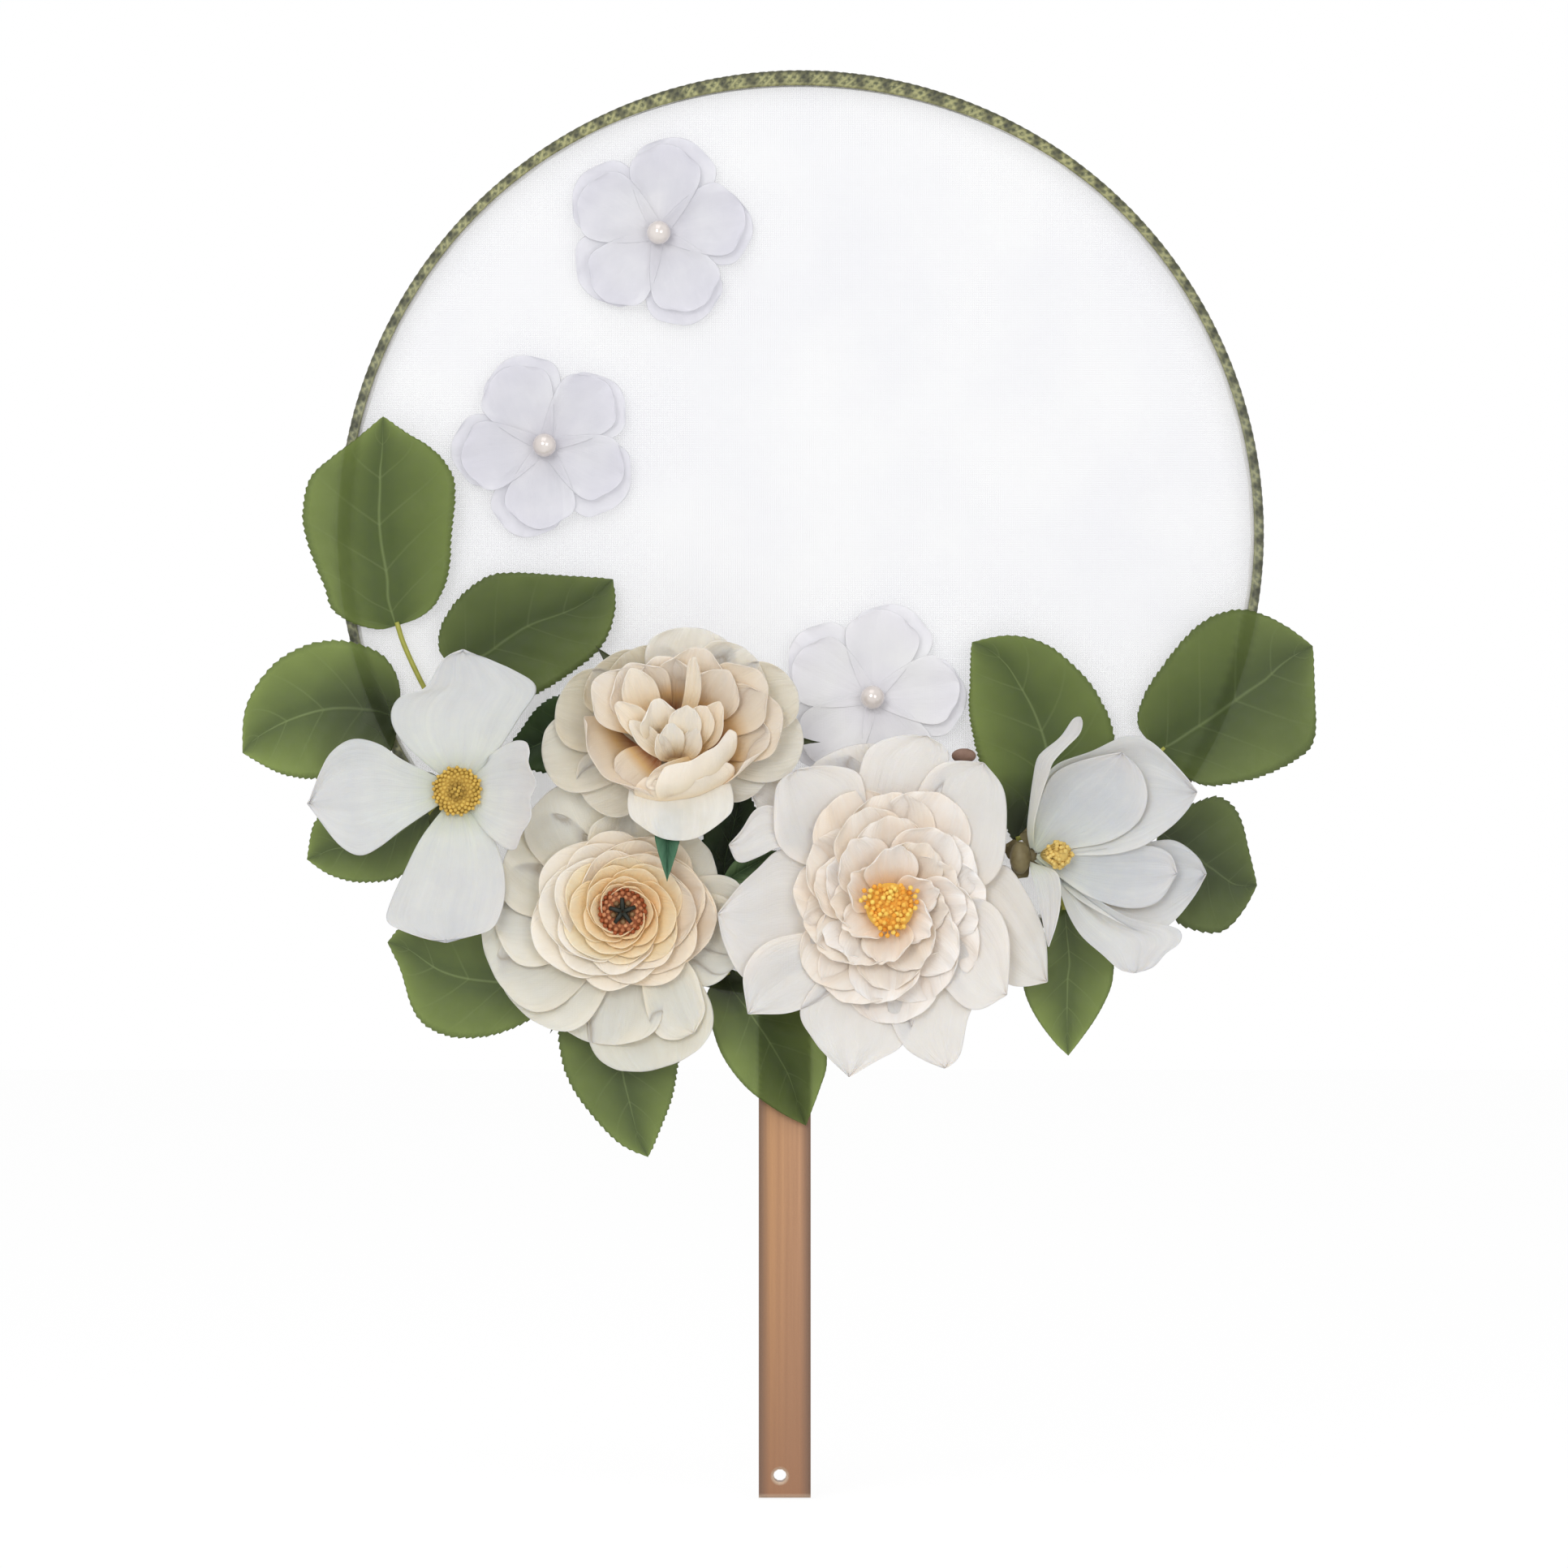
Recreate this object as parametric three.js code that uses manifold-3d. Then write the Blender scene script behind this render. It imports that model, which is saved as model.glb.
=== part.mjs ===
// A round paddle hand fan: sheer cloth on a hoop, a braided edge, a forked bamboo handle,
// and a spray of silk flowers and leaves over the lower third of the face.
// Millimetres and degrees. The handle's foot is the origin, +Z runs up the handle,
// and the decorated face looks towards -Y.

import * as THREE from 'three';
import { mergeVertices } from 'three/addons/utils/BufferGeometryUtils.js';
import Module from 'manifold-3d';

const wasm = await Module();
wasm.setup();

const degrees = Math.PI / 180;

// Gap left between pieces that touch on the real fan.
const seatGap = 0.3;

// Hoop, cloth and braid.
const braidOuterRadius = 125;
const braidWall = 0.7;
const braidFold = 0.5;
const braidNarrow = 3.2;
const braidWide = 5.1;
const braidCrownAngle = 92;
const braidCrownSpread = 55;
const rodRadius = 1.2;
const clothThickness = 0.3;

// Handle.
const handleWidth = 14;
const handleThickness = 7;
const handleEdgeRound = 0.6;
const gripLength = 135;
const tongueLength = 35;
const tongueCorner = 3;
const hoopOffset = 4.3;
const tasselHoleRadius = 1.8;
const tasselHoleHeight = 5.9;
const tasselHoleOffset = -1.3;
const pegRadius = 0.9;
const pegInset = 7;
const pegRise = 9;
const pegHeights = { clasp_pin_lower: pegRise, clasp_pin_upper: tongueLength - pegInset };

// Leaves: thickness of the pressed cloth, radius of the wired stalk, and the lift of the leaf's edges.
const leafThickness = 0.4;
const stalkRadius = 0.7;
const leafFold = 1.6;
const stalkInBlade = 4;
const stalkLift = 0.3;

// Petals.
const petalThickness = 0.5;
const organzaThickness = 0.3;
const receptacleRadius = 3.2;
const petalRootShare = 0.6;
const pearlRadius = 3.2;

// Sizes that follow from the ones above.
const rodCentreRadius = braidOuterRadius - braidWall - seatGap - rodRadius;
const clothBack = rodRadius + seatGap;
const clothFront = clothBack + clothThickness;
const braidInside = clothFront + seatGap;
const braidFront = braidInside + braidFold;
const hoopCentreHeight = gripLength + braidOuterRadius;
const stalkOnCloth = clothFront + seatGap + stalkRadius;
const leafLevel = Math.max(braidFront, handleThickness / 2) + seatGap + stalkRadius;

// Colours as they look on the fan.
const paint = {
  bamboo: { color: '#b58b6c', roughness: 0.5 },
  peg: { color: '#c9a982', roughness: 0.6 },
  organza: { color: '#f4f4f6', roughness: 0.6, transparent: true, opacity: 0.6 },
  braid: { color: '#7e8161', roughness: 0.45, metalness: 0.4 },
  leaf: { color: '#55703c', roughness: 0.7 },
  darkLeaf: { color: '#2f4a30', roughness: 0.75 },
  blade: { color: '#3f7355', roughness: 0.7 },
  stem: { color: '#8f9a45', roughness: 0.5 },
  white: { color: '#ecebed', roughness: 0.75 },
  cream: { color: '#ecdfca', roughness: 0.75 },
  peach: { color: '#f1d9b0', roughness: 0.75 },
  rust: { color: '#c98a55', roughness: 0.8 },
  darkGreen: { color: '#2c3a22', roughness: 0.8 },
  gold: { color: '#d9a93c', roughness: 0.7 },
  pearl: { color: '#f3ece6', roughness: 0.2 },
};

const fan = new THREE.Group();

// Everything on the face is placed in the hoop's plane: x right, y up, z towards the viewer.
const face = new THREE.Group();
face.rotation.x = Math.PI / 2;
face.position.set(hoopOffset, 0, hoopCentreHeight);
fan.add(face);

function addPiece(parent, name, geometry, look) {
  geometry.computeVertexNormals();
  const piece = new THREE.Mesh(geometry, new THREE.MeshStandardMaterial(look));
  piece.name = name;
  parent.add(piece);
  return piece;
}

// A closed mesh with shared corners, no collapsed triangles, and its faces pointing out.
function weld(source) {
  const loose = source.clone();
  for (const name of Object.keys(loose.attributes)) {
    if (name !== 'position') loose.deleteAttribute(name);
  }
  const merged = mergeVertices(loose, 1e-3);
  const index = merged.index.array;
  const spot = merged.attributes.position;
  const kept = [];
  let volume = 0;
  const [a, b, c] = [new THREE.Vector3(), new THREE.Vector3(), new THREE.Vector3()];
  for (let i = 0; i < index.length; i += 3) {
    const [p, q, r] = [index[i], index[i + 1], index[i + 2]];
    if (p === q || q === r || r === p) continue;
    kept.push(p, q, r);
    a.fromBufferAttribute(spot, p);
    b.fromBufferAttribute(spot, q);
    c.fromBufferAttribute(spot, r);
    volume += a.dot(b.cross(c));
  }
  if (volume < 0) kept.reverse();
  merged.setIndex(kept);
  return merged;
}

function toSolid(geometry) {
  const welded = weld(geometry);
  return new wasm.Manifold(new wasm.Mesh({
    numProp: 3,
    vertProperties: new Float32Array(welded.attributes.position.array),
    triVerts: new Uint32Array(welded.index.array),
  }));
}

function toGeometry(solid) {
  const mesh = solid.getMesh();
  const geometry = new THREE.BufferGeometry();
  geometry.setAttribute('position', new THREE.BufferAttribute(new Float32Array(mesh.vertProperties), 3));
  geometry.setIndex(Array.from(mesh.triVerts));
  return geometry;
}

function joined(geometries) {
  return toGeometry(geometries.map(toSolid).reduce((whole, part) => whole.add(part)));
}

// Moves each corner of a plain geometry to where shape(corner) says.
function reshape(geometry, shape) {
  const spot = geometry.attributes.position;
  const corner = new THREE.Vector3();
  for (let i = 0; i < spot.count; i += 1) {
    corner.fromBufferAttribute(spot, i);
    const moved = shape(corner);
    spot.setXYZ(i, moved.x, moved.y, moved.z);
  }
  return geometry;
}

// Gives a surface(u, v) its wall: side runs from -0.5 at the back to 0.5 at the front.
function offsetSurface(surface, u, v, side, thickness) {
  const step = 0.01;
  const here = surface(u, v);
  const alongU = surface(Math.min(u + step, 1), v).sub(surface(Math.max(u - step, 0), v));
  const alongV = surface(u, v + step).sub(surface(u, v - step));
  const normal = alongU.cross(alongV);
  if (normal.length() < 1e-9) normal.set(0, 0, 1);
  return here.addScaledVector(normal.normalize(), side * thickness);
}

// Distance out and height of a spine whose slope turns evenly from one angle to another.
function spine(length, share, slopeFrom, slopeTo) {
  const start = slopeFrom * degrees;
  const turn = (slopeTo - slopeFrom) * degrees;
  const end = start + turn * share;
  if (Math.abs(turn) < 1e-6) {
    return { out: length * share * Math.cos(start), up: length * share * Math.sin(start), slope: start };
  }
  return {
    out: (length * (Math.sin(end) - Math.sin(start))) / turn,
    up: (length * (Math.cos(start) - Math.cos(end))) / turn,
    slope: end,
  };
}

// A place on the face: an angle round the hoop and a distance in from its rod.
function faceSpot([angle, inset]) {
  const radius = rodCentreRadius - inset;
  return new THREE.Vector2(radius * Math.cos(angle * degrees), radius * Math.sin(angle * degrees));
}

// A round bar along a few points, in the frame the points are given in.
function bar(points, radius, steps) {
  const section = new THREE.Shape();
  section.absarc(0, 0, radius, 0, 2 * Math.PI);
  const path = new THREE.CatmullRomCurve3(points);
  return new THREE.ExtrudeGeometry(section, {
    steps,
    extrudePath: path,
    curveSegments: 3,
    bevelEnabled: false,
  });
}

// Frame of the fan

function hoop() {
  return weld(new THREE.TorusGeometry(rodCentreRadius, rodRadius, 6, 52));
}

// Local x of the handle's middle line, and the heights of the pegs above the braid's lowest point.
function pegPlace(height) {
  return new THREE.Vector3(-hoopOffset, height - braidOuterRadius, 0);
}

function faceCloth(middle) {
  const disc = new THREE.CylinderGeometry(rodCentreRadius, rodCentreRadius, clothThickness, 52);
  disc.rotateX(Math.PI / 2).translate(0, 0, middle);
  let cloth = toSolid(disc);
  for (const height of Object.values(pegHeights)) {
    const hole = new THREE.CylinderGeometry(pegRadius + seatGap, pegRadius + seatGap, 4 * clothFront, 8);
    const place = pegPlace(height);
    hole.rotateX(Math.PI / 2).translate(place.x, place.y, 0);
    cloth = cloth.subtract(toSolid(hole));
  }
  return toGeometry(cloth);
}

// The braid is wider over the crown of the hoop, where its fold is turned further in.
function braidWidth(angle) {
  const fromCrown = Math.abs(angle - braidCrownAngle * degrees);
  const share = Math.max(0, 1 - fromCrown / (braidCrownSpread * degrees));
  const eased = share * share * (3 - 2 * share);
  return braidNarrow + (braidWide - braidNarrow) * eased;
}

// A channel folded round the rim. It stops at each side of the handle. Across the section, x is
// 0 on the outside, 0.5 on the inside of the wall and 1 at the edges of the folds.
function edgeBraid() {
  const innerRadius = braidOuterRadius - braidNarrow;
  const halfHandle = handleWidth / 2 + seatGap;
  const start = -Math.PI / 2 + Math.asin((halfHandle - hoopOffset) / innerRadius);
  const end = 1.5 * Math.PI - Math.asin((halfHandle + hoopOffset) / innerRadius);
  const depths = (angle) => [0, braidWall, braidWidth(angle)];
  const section = new THREE.Shape([
    new THREE.Vector2(0, -braidFront),
    new THREE.Vector2(1, -braidFront),
    new THREE.Vector2(1, -braidInside),
    new THREE.Vector2(0.5, -braidInside),
    new THREE.Vector2(0.5, braidInside),
    new THREE.Vector2(1, braidInside),
    new THREE.Vector2(1, braidFront),
    new THREE.Vector2(0, braidFront),
  ]);
  const strip = new THREE.ExtrudeGeometry(section, { depth: 1, steps: 52, bevelEnabled: false });
  return weld(reshape(strip, ({ x, y, z }) => {
    const angle = start + (end - start) * z;
    const radius = braidOuterRadius - depths(angle)[Math.round(2 * x)];
    return new THREE.Vector3(radius * Math.cos(angle), radius * Math.sin(angle), y);
  }));
}

function handle() {
  const height = gripLength + tongueLength;
  const half = handleWidth / 2;
  const outline = new THREE.Shape();
  outline.moveTo(-half, 0);
  outline.lineTo(half, 0);
  outline.lineTo(half, height - tongueCorner);
  outline.absarc(half - tongueCorner, height - tongueCorner, tongueCorner, 0, Math.PI / 2);
  outline.lineTo(-half + tongueCorner, height);
  outline.absarc(-half + tongueCorner, height - tongueCorner, tongueCorner, Math.PI / 2, Math.PI);
  const tasselHole = new THREE.Path();
  tasselHole.absarc(tasselHoleOffset, tasselHoleHeight, tasselHoleRadius, 0, 2 * Math.PI);
  outline.holes.push(tasselHole);
  const strip = new THREE.ExtrudeGeometry(outline, {
    depth: handleThickness - 2 * handleEdgeRound,
    curveSegments: 5,
    bevelThickness: handleEdgeRound,
    bevelSize: handleEdgeRound,
    bevelOffset: -handleEdgeRound,
    bevelSegments: 1,
  });
  strip.translate(0, 0, handleEdgeRound - handleThickness / 2).rotateX(Math.PI / 2);
  const slotFloor = gripLength + braidWall;
  const slotWidth = 2 * braidInside;
  const slot = new THREE.BoxGeometry(2 * handleWidth, slotWidth, 2 * tongueLength);
  slot.translate(0, 0, slotFloor + tongueLength);
  let solid = toSolid(strip).subtract(toSolid(slot));
  for (const rise of Object.values(pegHeights)) {
    const hole = new THREE.CylinderGeometry(pegRadius + seatGap, pegRadius + seatGap, 2 * handleThickness, 8);
    hole.translate(0, 0, gripLength + rise);
    solid = solid.subtract(toSolid(hole));
  }
  return toGeometry(solid);
}

addPiece(fan, 'handle', handle(), paint.bamboo);
for (const [name, rise] of Object.entries(pegHeights)) {
  const peg = new THREE.CylinderGeometry(pegRadius, pegRadius, handleThickness, 8);
  addPiece(fan, name, peg, paint.peg).position.z = gripLength + rise;
}
addPiece(face, 'hoop', hoop(), paint.bamboo);
addPiece(face, 'face_cloth_front', faceCloth(clothBack + clothThickness / 2), paint.organza);
addPiece(face, 'face_cloth_back', faceCloth(-clothBack - clothThickness / 2), paint.organza);
addPiece(face, 'edge_braid', edgeBraid(), paint.braid);

// Leaves

function ovateHalfWidth(share) {
  return Math.sin(Math.PI * share ** 0.75) ** 0.7;
}

// A pressed cloth blade along x from its root, its edges lifted towards the viewer.
function bladePlate({ length, width, rise = 2, bend = 0, fold = leafFold }) {
  const surface = (along, across) => {
    const half = Math.max(0.5 * width * ovateHalfWidth(Math.min(Math.max(along, 0.03), 0.985)), stalkRadius);
    const arch = Math.sin(Math.PI * along);
    return new THREE.Vector3(
      length * along,
      half * across + bend * arch,
      rise * along + fold * across * across * arch + 0.6 * arch,
    );
  };
  const plate = new THREE.BoxGeometry(1, 2, 1, 6, 4, 1);
  return reshape(plate, ({ x, y, z }) => offsetSurface(surface, x + 0.5, y, z, leafThickness));
}

// The stalk runs back from the blade's root and comes down to the cloth at its end.
function stalkBar({ stalk, turn = 0, drop }) {
  const back = new THREE.Vector3(-Math.cos(turn * degrees), -Math.sin(turn * degrees), 0);
  const points = [
    new THREE.Vector3(stalkInBlade, 0, stalkLift),
    new THREE.Vector3(0, 0, 0),
    back.clone().multiplyScalar(0.65 * stalk).setZ(-0.08 * drop),
    back.clone().multiplyScalar(stalk).setZ(-drop),
  ];
  return bar(points, stalkRadius, 5);
}

// Single leaves: place of the root, direction of the tip, and the stalk behind it.
const singleLeaves = {
  leaf_left_low: { at: [217.5, -0.6], heading: 201.1, length: 37.8, width: 27, stalk: 9, turn: -30 },
  leaf_bottom_left: {
    at: [241.6, -13.7],
    heading: 168.6,
    length: 46.7,
    width: 37,
    stalk: 24,
    turn: 79,
    bend: 4,
  },
  leaf_bottom: { at: [247.4, -10.8], heading: 283.3, length: 45.7, width: 33, stalk: 20 },
  leaf_on_handle: {
    at: [259.4, 1.8],
    heading: 299.6,
    length: 46.6,
    width: 25,
    stalk: 11,
    turn: -20,
    bend: 2,
  },
  leaf_bottom_right: { at: [307.1, 7.9], heading: 273.1, length: 49.4, width: 24, stalk: 7 },
  filler_leaf_left: {
    at: [224.6, 45.4],
    heading: 197.2,
    length: 25.9,
    width: 22,
    stalk: 6,
    look: 'darkLeaf',
  },
  filler_leaf_centre: { at: [258.5, 20], heading: 94, length: 33, width: 11, stalk: 8, look: 'darkLeaf' },
  narrow_leaf_upper: {
    at: [243.5, 44],
    heading: 272.7,
    length: 22,
    width: 7,
    stalk: 3,
    level: 22.5,
    rise: 6,
    fold: 0.6,
    look: 'blade',
  },
  narrow_leaf_lower: {
    at: [256.9, 24.9],
    heading: 32,
    length: 18.6,
    width: 7,
    stalk: 8,
    level: 6.5,
    fold: 0.6,
    look: 'blade',
  },
};

for (const [name, leaf] of Object.entries(singleLeaves)) {
  const level = leaf.level ?? leafLevel;
  const place = faceSpot(leaf.at);
  const plate = bladePlate(leaf);
  const stalk = stalkBar({ ...leaf, drop: level - stalkOnCloth });
  const piece = addPiece(face, name, joined([plate, stalk]), paint[leaf.look ?? 'leaf']);
  piece.position.set(place.x, place.y, level);
  piece.rotation.z = leaf.heading * degrees;
}

// Sprays: leaves that share one moulded stem, whose arms reach each leaf's stalk.
const sprays = {
  left_spray_stem: {
    fork: [208.5, 14.4],
    foot: [213.2, 9.5],
    leaves: {
      leaf_left_top: { at: [193.0, 9], heading: 93.5, length: 57.5, width: 42, rise: 3 },
      leaf_left_inner: { at: [201.1, 22.6], heading: 29.2, length: 49.4, width: 34 },
      leaf_left_outer: { at: [203.8, 6.2], heading: 195.9, length: 44.9, width: 35, bend: -4 },
    },
  },
  right_spray_stem: {
    fork: [315.0, 13.5],
    foot: [310.5, 13],
    leaves: {
      leaf_right_inner: { at: [313.8, 18.5], heading: 119.5, length: 56, width: 35, bend: -4 },
      leaf_right_top: { at: [328, 10.3], heading: 34, length: 54.2, width: 43, rise: 3 },
      leaf_right_outer: { at: [318.5, 5.5], heading: 328, length: 40.2, width: 29 },
    },
  },
};
const shortStalk = 3;

function pointAt(place, height) {
  return new THREE.Vector3(place.x, place.y, height);
}

for (const [stemName, spray] of Object.entries(sprays)) {
  const fork = pointAt(faceSpot(spray.fork), stalkOnCloth + 0.4);
  const arms = [bar([pointAt(faceSpot(spray.foot), stalkOnCloth), fork], stalkRadius, 2)];
  for (const [name, leaf] of Object.entries(spray.leaves)) {
    const root = pointAt(faceSpot(leaf.at), leafLevel);
    const heading = leaf.heading * degrees;
    const along = new THREE.Vector3(Math.cos(heading), Math.sin(heading), 0);
    const stalkPoints = [
      new THREE.Vector3(stalkInBlade, 0, stalkLift),
      new THREE.Vector3(0, 0, 0),
      new THREE.Vector3(-shortStalk, 0, 0),
    ];
    const stalk = bar(stalkPoints, stalkRadius, 3);
    const piece = addPiece(face, name, joined([bladePlate(leaf), stalk]), paint.leaf);
    piece.position.copy(root);
    piece.rotation.z = heading;
    const armEnd = root.clone().addScaledVector(along, -shortStalk - seatGap);
    const armBend = armEnd.clone().addScaledVector(along, -0.2 * armEnd.distanceTo(fork));
    arms.push(bar([armEnd, armBend, fork], stalkRadius, 4));
  }
  addPiece(face, stemName, joined(arms), paint.stem);
}

// Flowers

// One die-cut layer: a closed thin cup of petals round the z axis.
// Each petal is [angle, length]; blunt near 0.4 gives round petals, above 1 pointed ones.
// Lap lifts one side of each petal and lowers the other, so that neighbours seem to overlap.
function petalLayer({ petals, slopes, notch, blunt, lap = 0, thickness = petalThickness, rings = 3 }) {
  const count = petals.length;
  const segments = count * 6;
  const surface = (share, turn) => {
    const whole = Math.floor(turn);
    const part = turn - whole;
    const [angleA, lengthA] = petals[((whole % count) + count) % count];
    const [angleB, lengthB] = petals[(((whole + 1) % count) + count) % count];
    const gap = (((angleB - angleA) % 360) + 360) % 360;
    const angle = (angleA + gap * part) * degrees;
    const eased = part * part * (3 - 2 * part);
    const lobe = 1 - notch * (1 - Math.abs(Math.cos(Math.PI * part)) ** blunt);
    const length = (lengthA + (lengthB - lengthA) * eased) * lobe;
    const { out, up } = spine(length, share, slopes[0], slopes[1]);
    const side = part < 0.5 ? part : part - 1;
    const lift = Math.abs(part - 0.5) < 1e-3 ? 0 : 2 * lap * side * share;
    return new THREE.Vector3(out * Math.cos(angle), out * Math.sin(angle), up + lift);
  };
  const profile = [];
  for (let i = 0; i <= rings; i += 1) profile.push(new THREE.Vector2(i / rings, -0.5));
  for (let i = rings; i >= 0; i -= 1) profile.push(new THREE.Vector2(i / rings, 0.5));
  const disc = new THREE.LatheGeometry(profile, segments);
  return weld(reshape(disc, ({ x, y, z }) => {
    const share = Math.hypot(x, z);
    const turn = (Math.round((Math.atan2(x, z) / (2 * Math.PI)) * segments) / segments) * count;
    if (share < 1e-6) return new THREE.Vector3(0, 0, y * thickness);
    return offsetSurface(surface, share, (turn + count) % count, y, thickness);
  }));
}

function evenPetals(count, length, first) {
  return Array.from({ length: count }, (_, i) => [first + (360 * i) / count, length]);
}

// One petal along x with a blunt tip, cupped across.
function petalPlate({ length, width, slopes, cup = 2, tipShare = 0.6, rootOut = 0 }) {
  const surface = (along, across) => {
    const { out, up, slope } = spine(length, along, slopes[0], slopes[1]);
    const belly = Math.sin(0.5 * Math.PI * Math.min(along / 0.7, 1)) ** 0.9;
    const taper = along > 0.7 ? 1 - (1 - tipShare) * ((along - 0.7) / 0.3) ** 2 : 1;
    const half = Math.max(0.5 * width * belly * taper, 1);
    const lift = cup * across * across * Math.sin(0.5 * Math.PI * along);
    const roundTip = 0.06 * length * across * across * along * along;
    return new THREE.Vector3(
      rootOut + out - lift * Math.sin(slope) - roundTip * Math.cos(slope),
      half * across,
      up + lift * Math.cos(slope) - roundTip * Math.sin(slope),
    );
  };
  const plate = new THREE.BoxGeometry(1, 2, 1, 5, 3, 1);
  return reshape(plate, ({ x, y, z }) => offsetSurface(surface, x + 0.5, y, z, petalThickness));
}

// Petals set one by one on a small hub.
function petalWheel({ petals, hubRadius }) {
  const hub = new THREE.CylinderGeometry(hubRadius, hubRadius, petalThickness, 12);
  hub.rotateX(Math.PI / 2);
  const plates = petals.map((petal) => {
    const plate = petalPlate({ ...petal, rootOut: petalRootShare * hubRadius });
    return plate.rotateZ(petal.angle * degrees);
  });
  return joined([hub, ...plates]);
}

// Height at which a centre of this radius seats in a layer, above the layer's hub.
function seatHeight({ petals, hubRadius, slopes, notch = 0, lap = 0 }, radius) {
  const lines = hubRadius
    ? petals.map((petal) => ({ ...petal, from: petalRootShare * hubRadius }))
    : [{ length: Math.min(...petals.map(([, length]) => length)) * (1 - notch), slopes, from: 0 }];
  const heights = lines.map((line) => {
    let share = 0;
    while (share < 1 && line.from + spine(line.length, share, ...line.slopes).out < radius) share += 0.005;
    const { up, slope } = spine(line.length, share, ...line.slopes);
    return up + lap * share + (0.5 * petalThickness + seatGap) / Math.cos(slope);
  });
  return Math.max(...heights);
}

// A domed post from the cloth up to the flower: the dome's centre is the flower's own origin.
function calyx(height) {
  const foot = [[0, -height], [receptacleRadius, -height], [0.75 * receptacleRadius, -height + 1]];
  const dome = [-20, 7.5, 35, 62.5, 90].map((turn) => [
    turn < 90 ? receptacleRadius * Math.cos(turn * degrees) : 0,
    receptacleRadius * Math.sin(turn * degrees),
  ]);
  const profile = [...foot, [0.55 * receptacleRadius, -0.45 * height], ...dome];
  return turned(profile, 10);
}

// A solid turned round the z axis from [radius, height] points.
function turned(points, segments) {
  const profile = points.map(([out, up]) => new THREE.Vector2(out, up));
  return weld(new THREE.LatheGeometry(profile, segments).rotateX(Math.PI / 2));
}

// A domed, lobed button, for stamens, hearts and eyes.
function button({ radius, height, lobes, depth }) {
  const side = [[0, 0], [radius, 0], [radius, 0.45 * height], [0.7 * radius, 0.9 * height], [0, height]];
  const plain = turned(side, lobes * 2);
  return reshape(plain, ({ x, y, z }) => {
    const share = 1 - depth * (0.5 + 0.5 * Math.cos(lobes * Math.atan2(y, x)));
    return new THREE.Vector3(x * share, y * share, z);
  });
}

// A ring of bundled stamens.
function stamenRing({ inner, radius, height }) {
  const foot = [[inner, 0], [radius, 0], [radius, 0.6 * height]];
  return turned([...foot, [0.5 * (inner + radius), height], [inner, 0.7 * height], [inner, 0]], 16);
}

// Petal layers are stacked along a flower's axis, each a gap above the last at the hub, and the
// centres seat in the last layer. The whole head may be tilted about the viewer's x and y.
function flower(name, { at, height, tiltX = 0, tiltY = 0, calyxLook, layers, centres }) {
  const place = faceSpot(at);
  const level = clothFront + seatGap + height;
  addPiece(face, `${name}_calyx`, calyx(height), calyxLook).position.set(place.x, place.y, level);
  const head = new THREE.Group();
  head.position.set(place.x, place.y, level);
  head.rotation.set(tiltX * degrees, tiltY * degrees, 0);
  face.add(head);
  let hub = receptacleRadius + seatGap + petalThickness / 2;
  let seat = hub;
  for (const [layerName, layer] of Object.entries(layers)) {
    const geometry = layer.hubRadius ? petalWheel(layer) : petalLayer(layer);
    addPiece(head, `${name}_${layerName}`, geometry, layer.look).position.z = hub;
    seat = hub;
    hub += petalThickness + seatGap;
  }
  const last = Object.values(layers).at(-1);
  for (const [centreName, centre] of Object.entries(centres)) {
    const geometry = centre.inner ? stamenRing(centre) : button(centre);
    const piece = addPiece(head, `${name}_${centreName}`, geometry, centre.look);
    piece.position.z = seat + seatHeight(last, centre.radius);
  }
}

// White dogwood, four broad petals.
flower('dogwood', {
  at: [217.1, 7.6],
  height: 11.5,
  calyxLook: paint.stem,
  layers: {
    petals: {
      look: paint.white,
      hubRadius: 4,
      petals: [
        { angle: 95, length: 36, width: 36, slopes: [4, 12] },
        { angle: 183, length: 38, width: 30, slopes: [4, 10] },
        { angle: 266, length: 38, width: 30, slopes: [2, 14] },
        { angle: -7, length: 24, width: 28, slopes: [2, 80] },
      ],
    },
  },
  centres: { stamens: { look: paint.gold, radius: 6.8, height: 4.5, lobes: 9, depth: 0.08 } },
});

// Cream rose, seen a little from below.
flower('rose', {
  at: [238.6, 59.1],
  height: 11,
  tiltX: -16,
  calyxLook: paint.darkGreen,
  layers: {
    outer_petals: {
      look: paint.cream,
      petals: [[85, 30], [130, 32], [172, 38], [222, 35], [268, 34], [318, 33], [365, 36], [405, 33]],
      slopes: [4, 26],
      notch: 0.16,
      blunt: 0.6,
      lap: 1.2,
    },
    middle_petals: {
      look: paint.cream,
      petals: evenPetals(6, 29, 60),
      slopes: [14, 62],
      notch: 0.14,
      blunt: 0.6,
      lap: 0.8,
    },
    inner_petals: {
      look: paint.peach,
      petals: evenPetals(5, 26, 20),
      slopes: [30, 86],
      notch: 0.12,
      blunt: 0.6,
      lap: 0.6,
    },
  },
  centres: { heart: { look: paint.peach, radius: 4.5, height: 11, lobes: 5, depth: 0.2 } },
});

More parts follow.
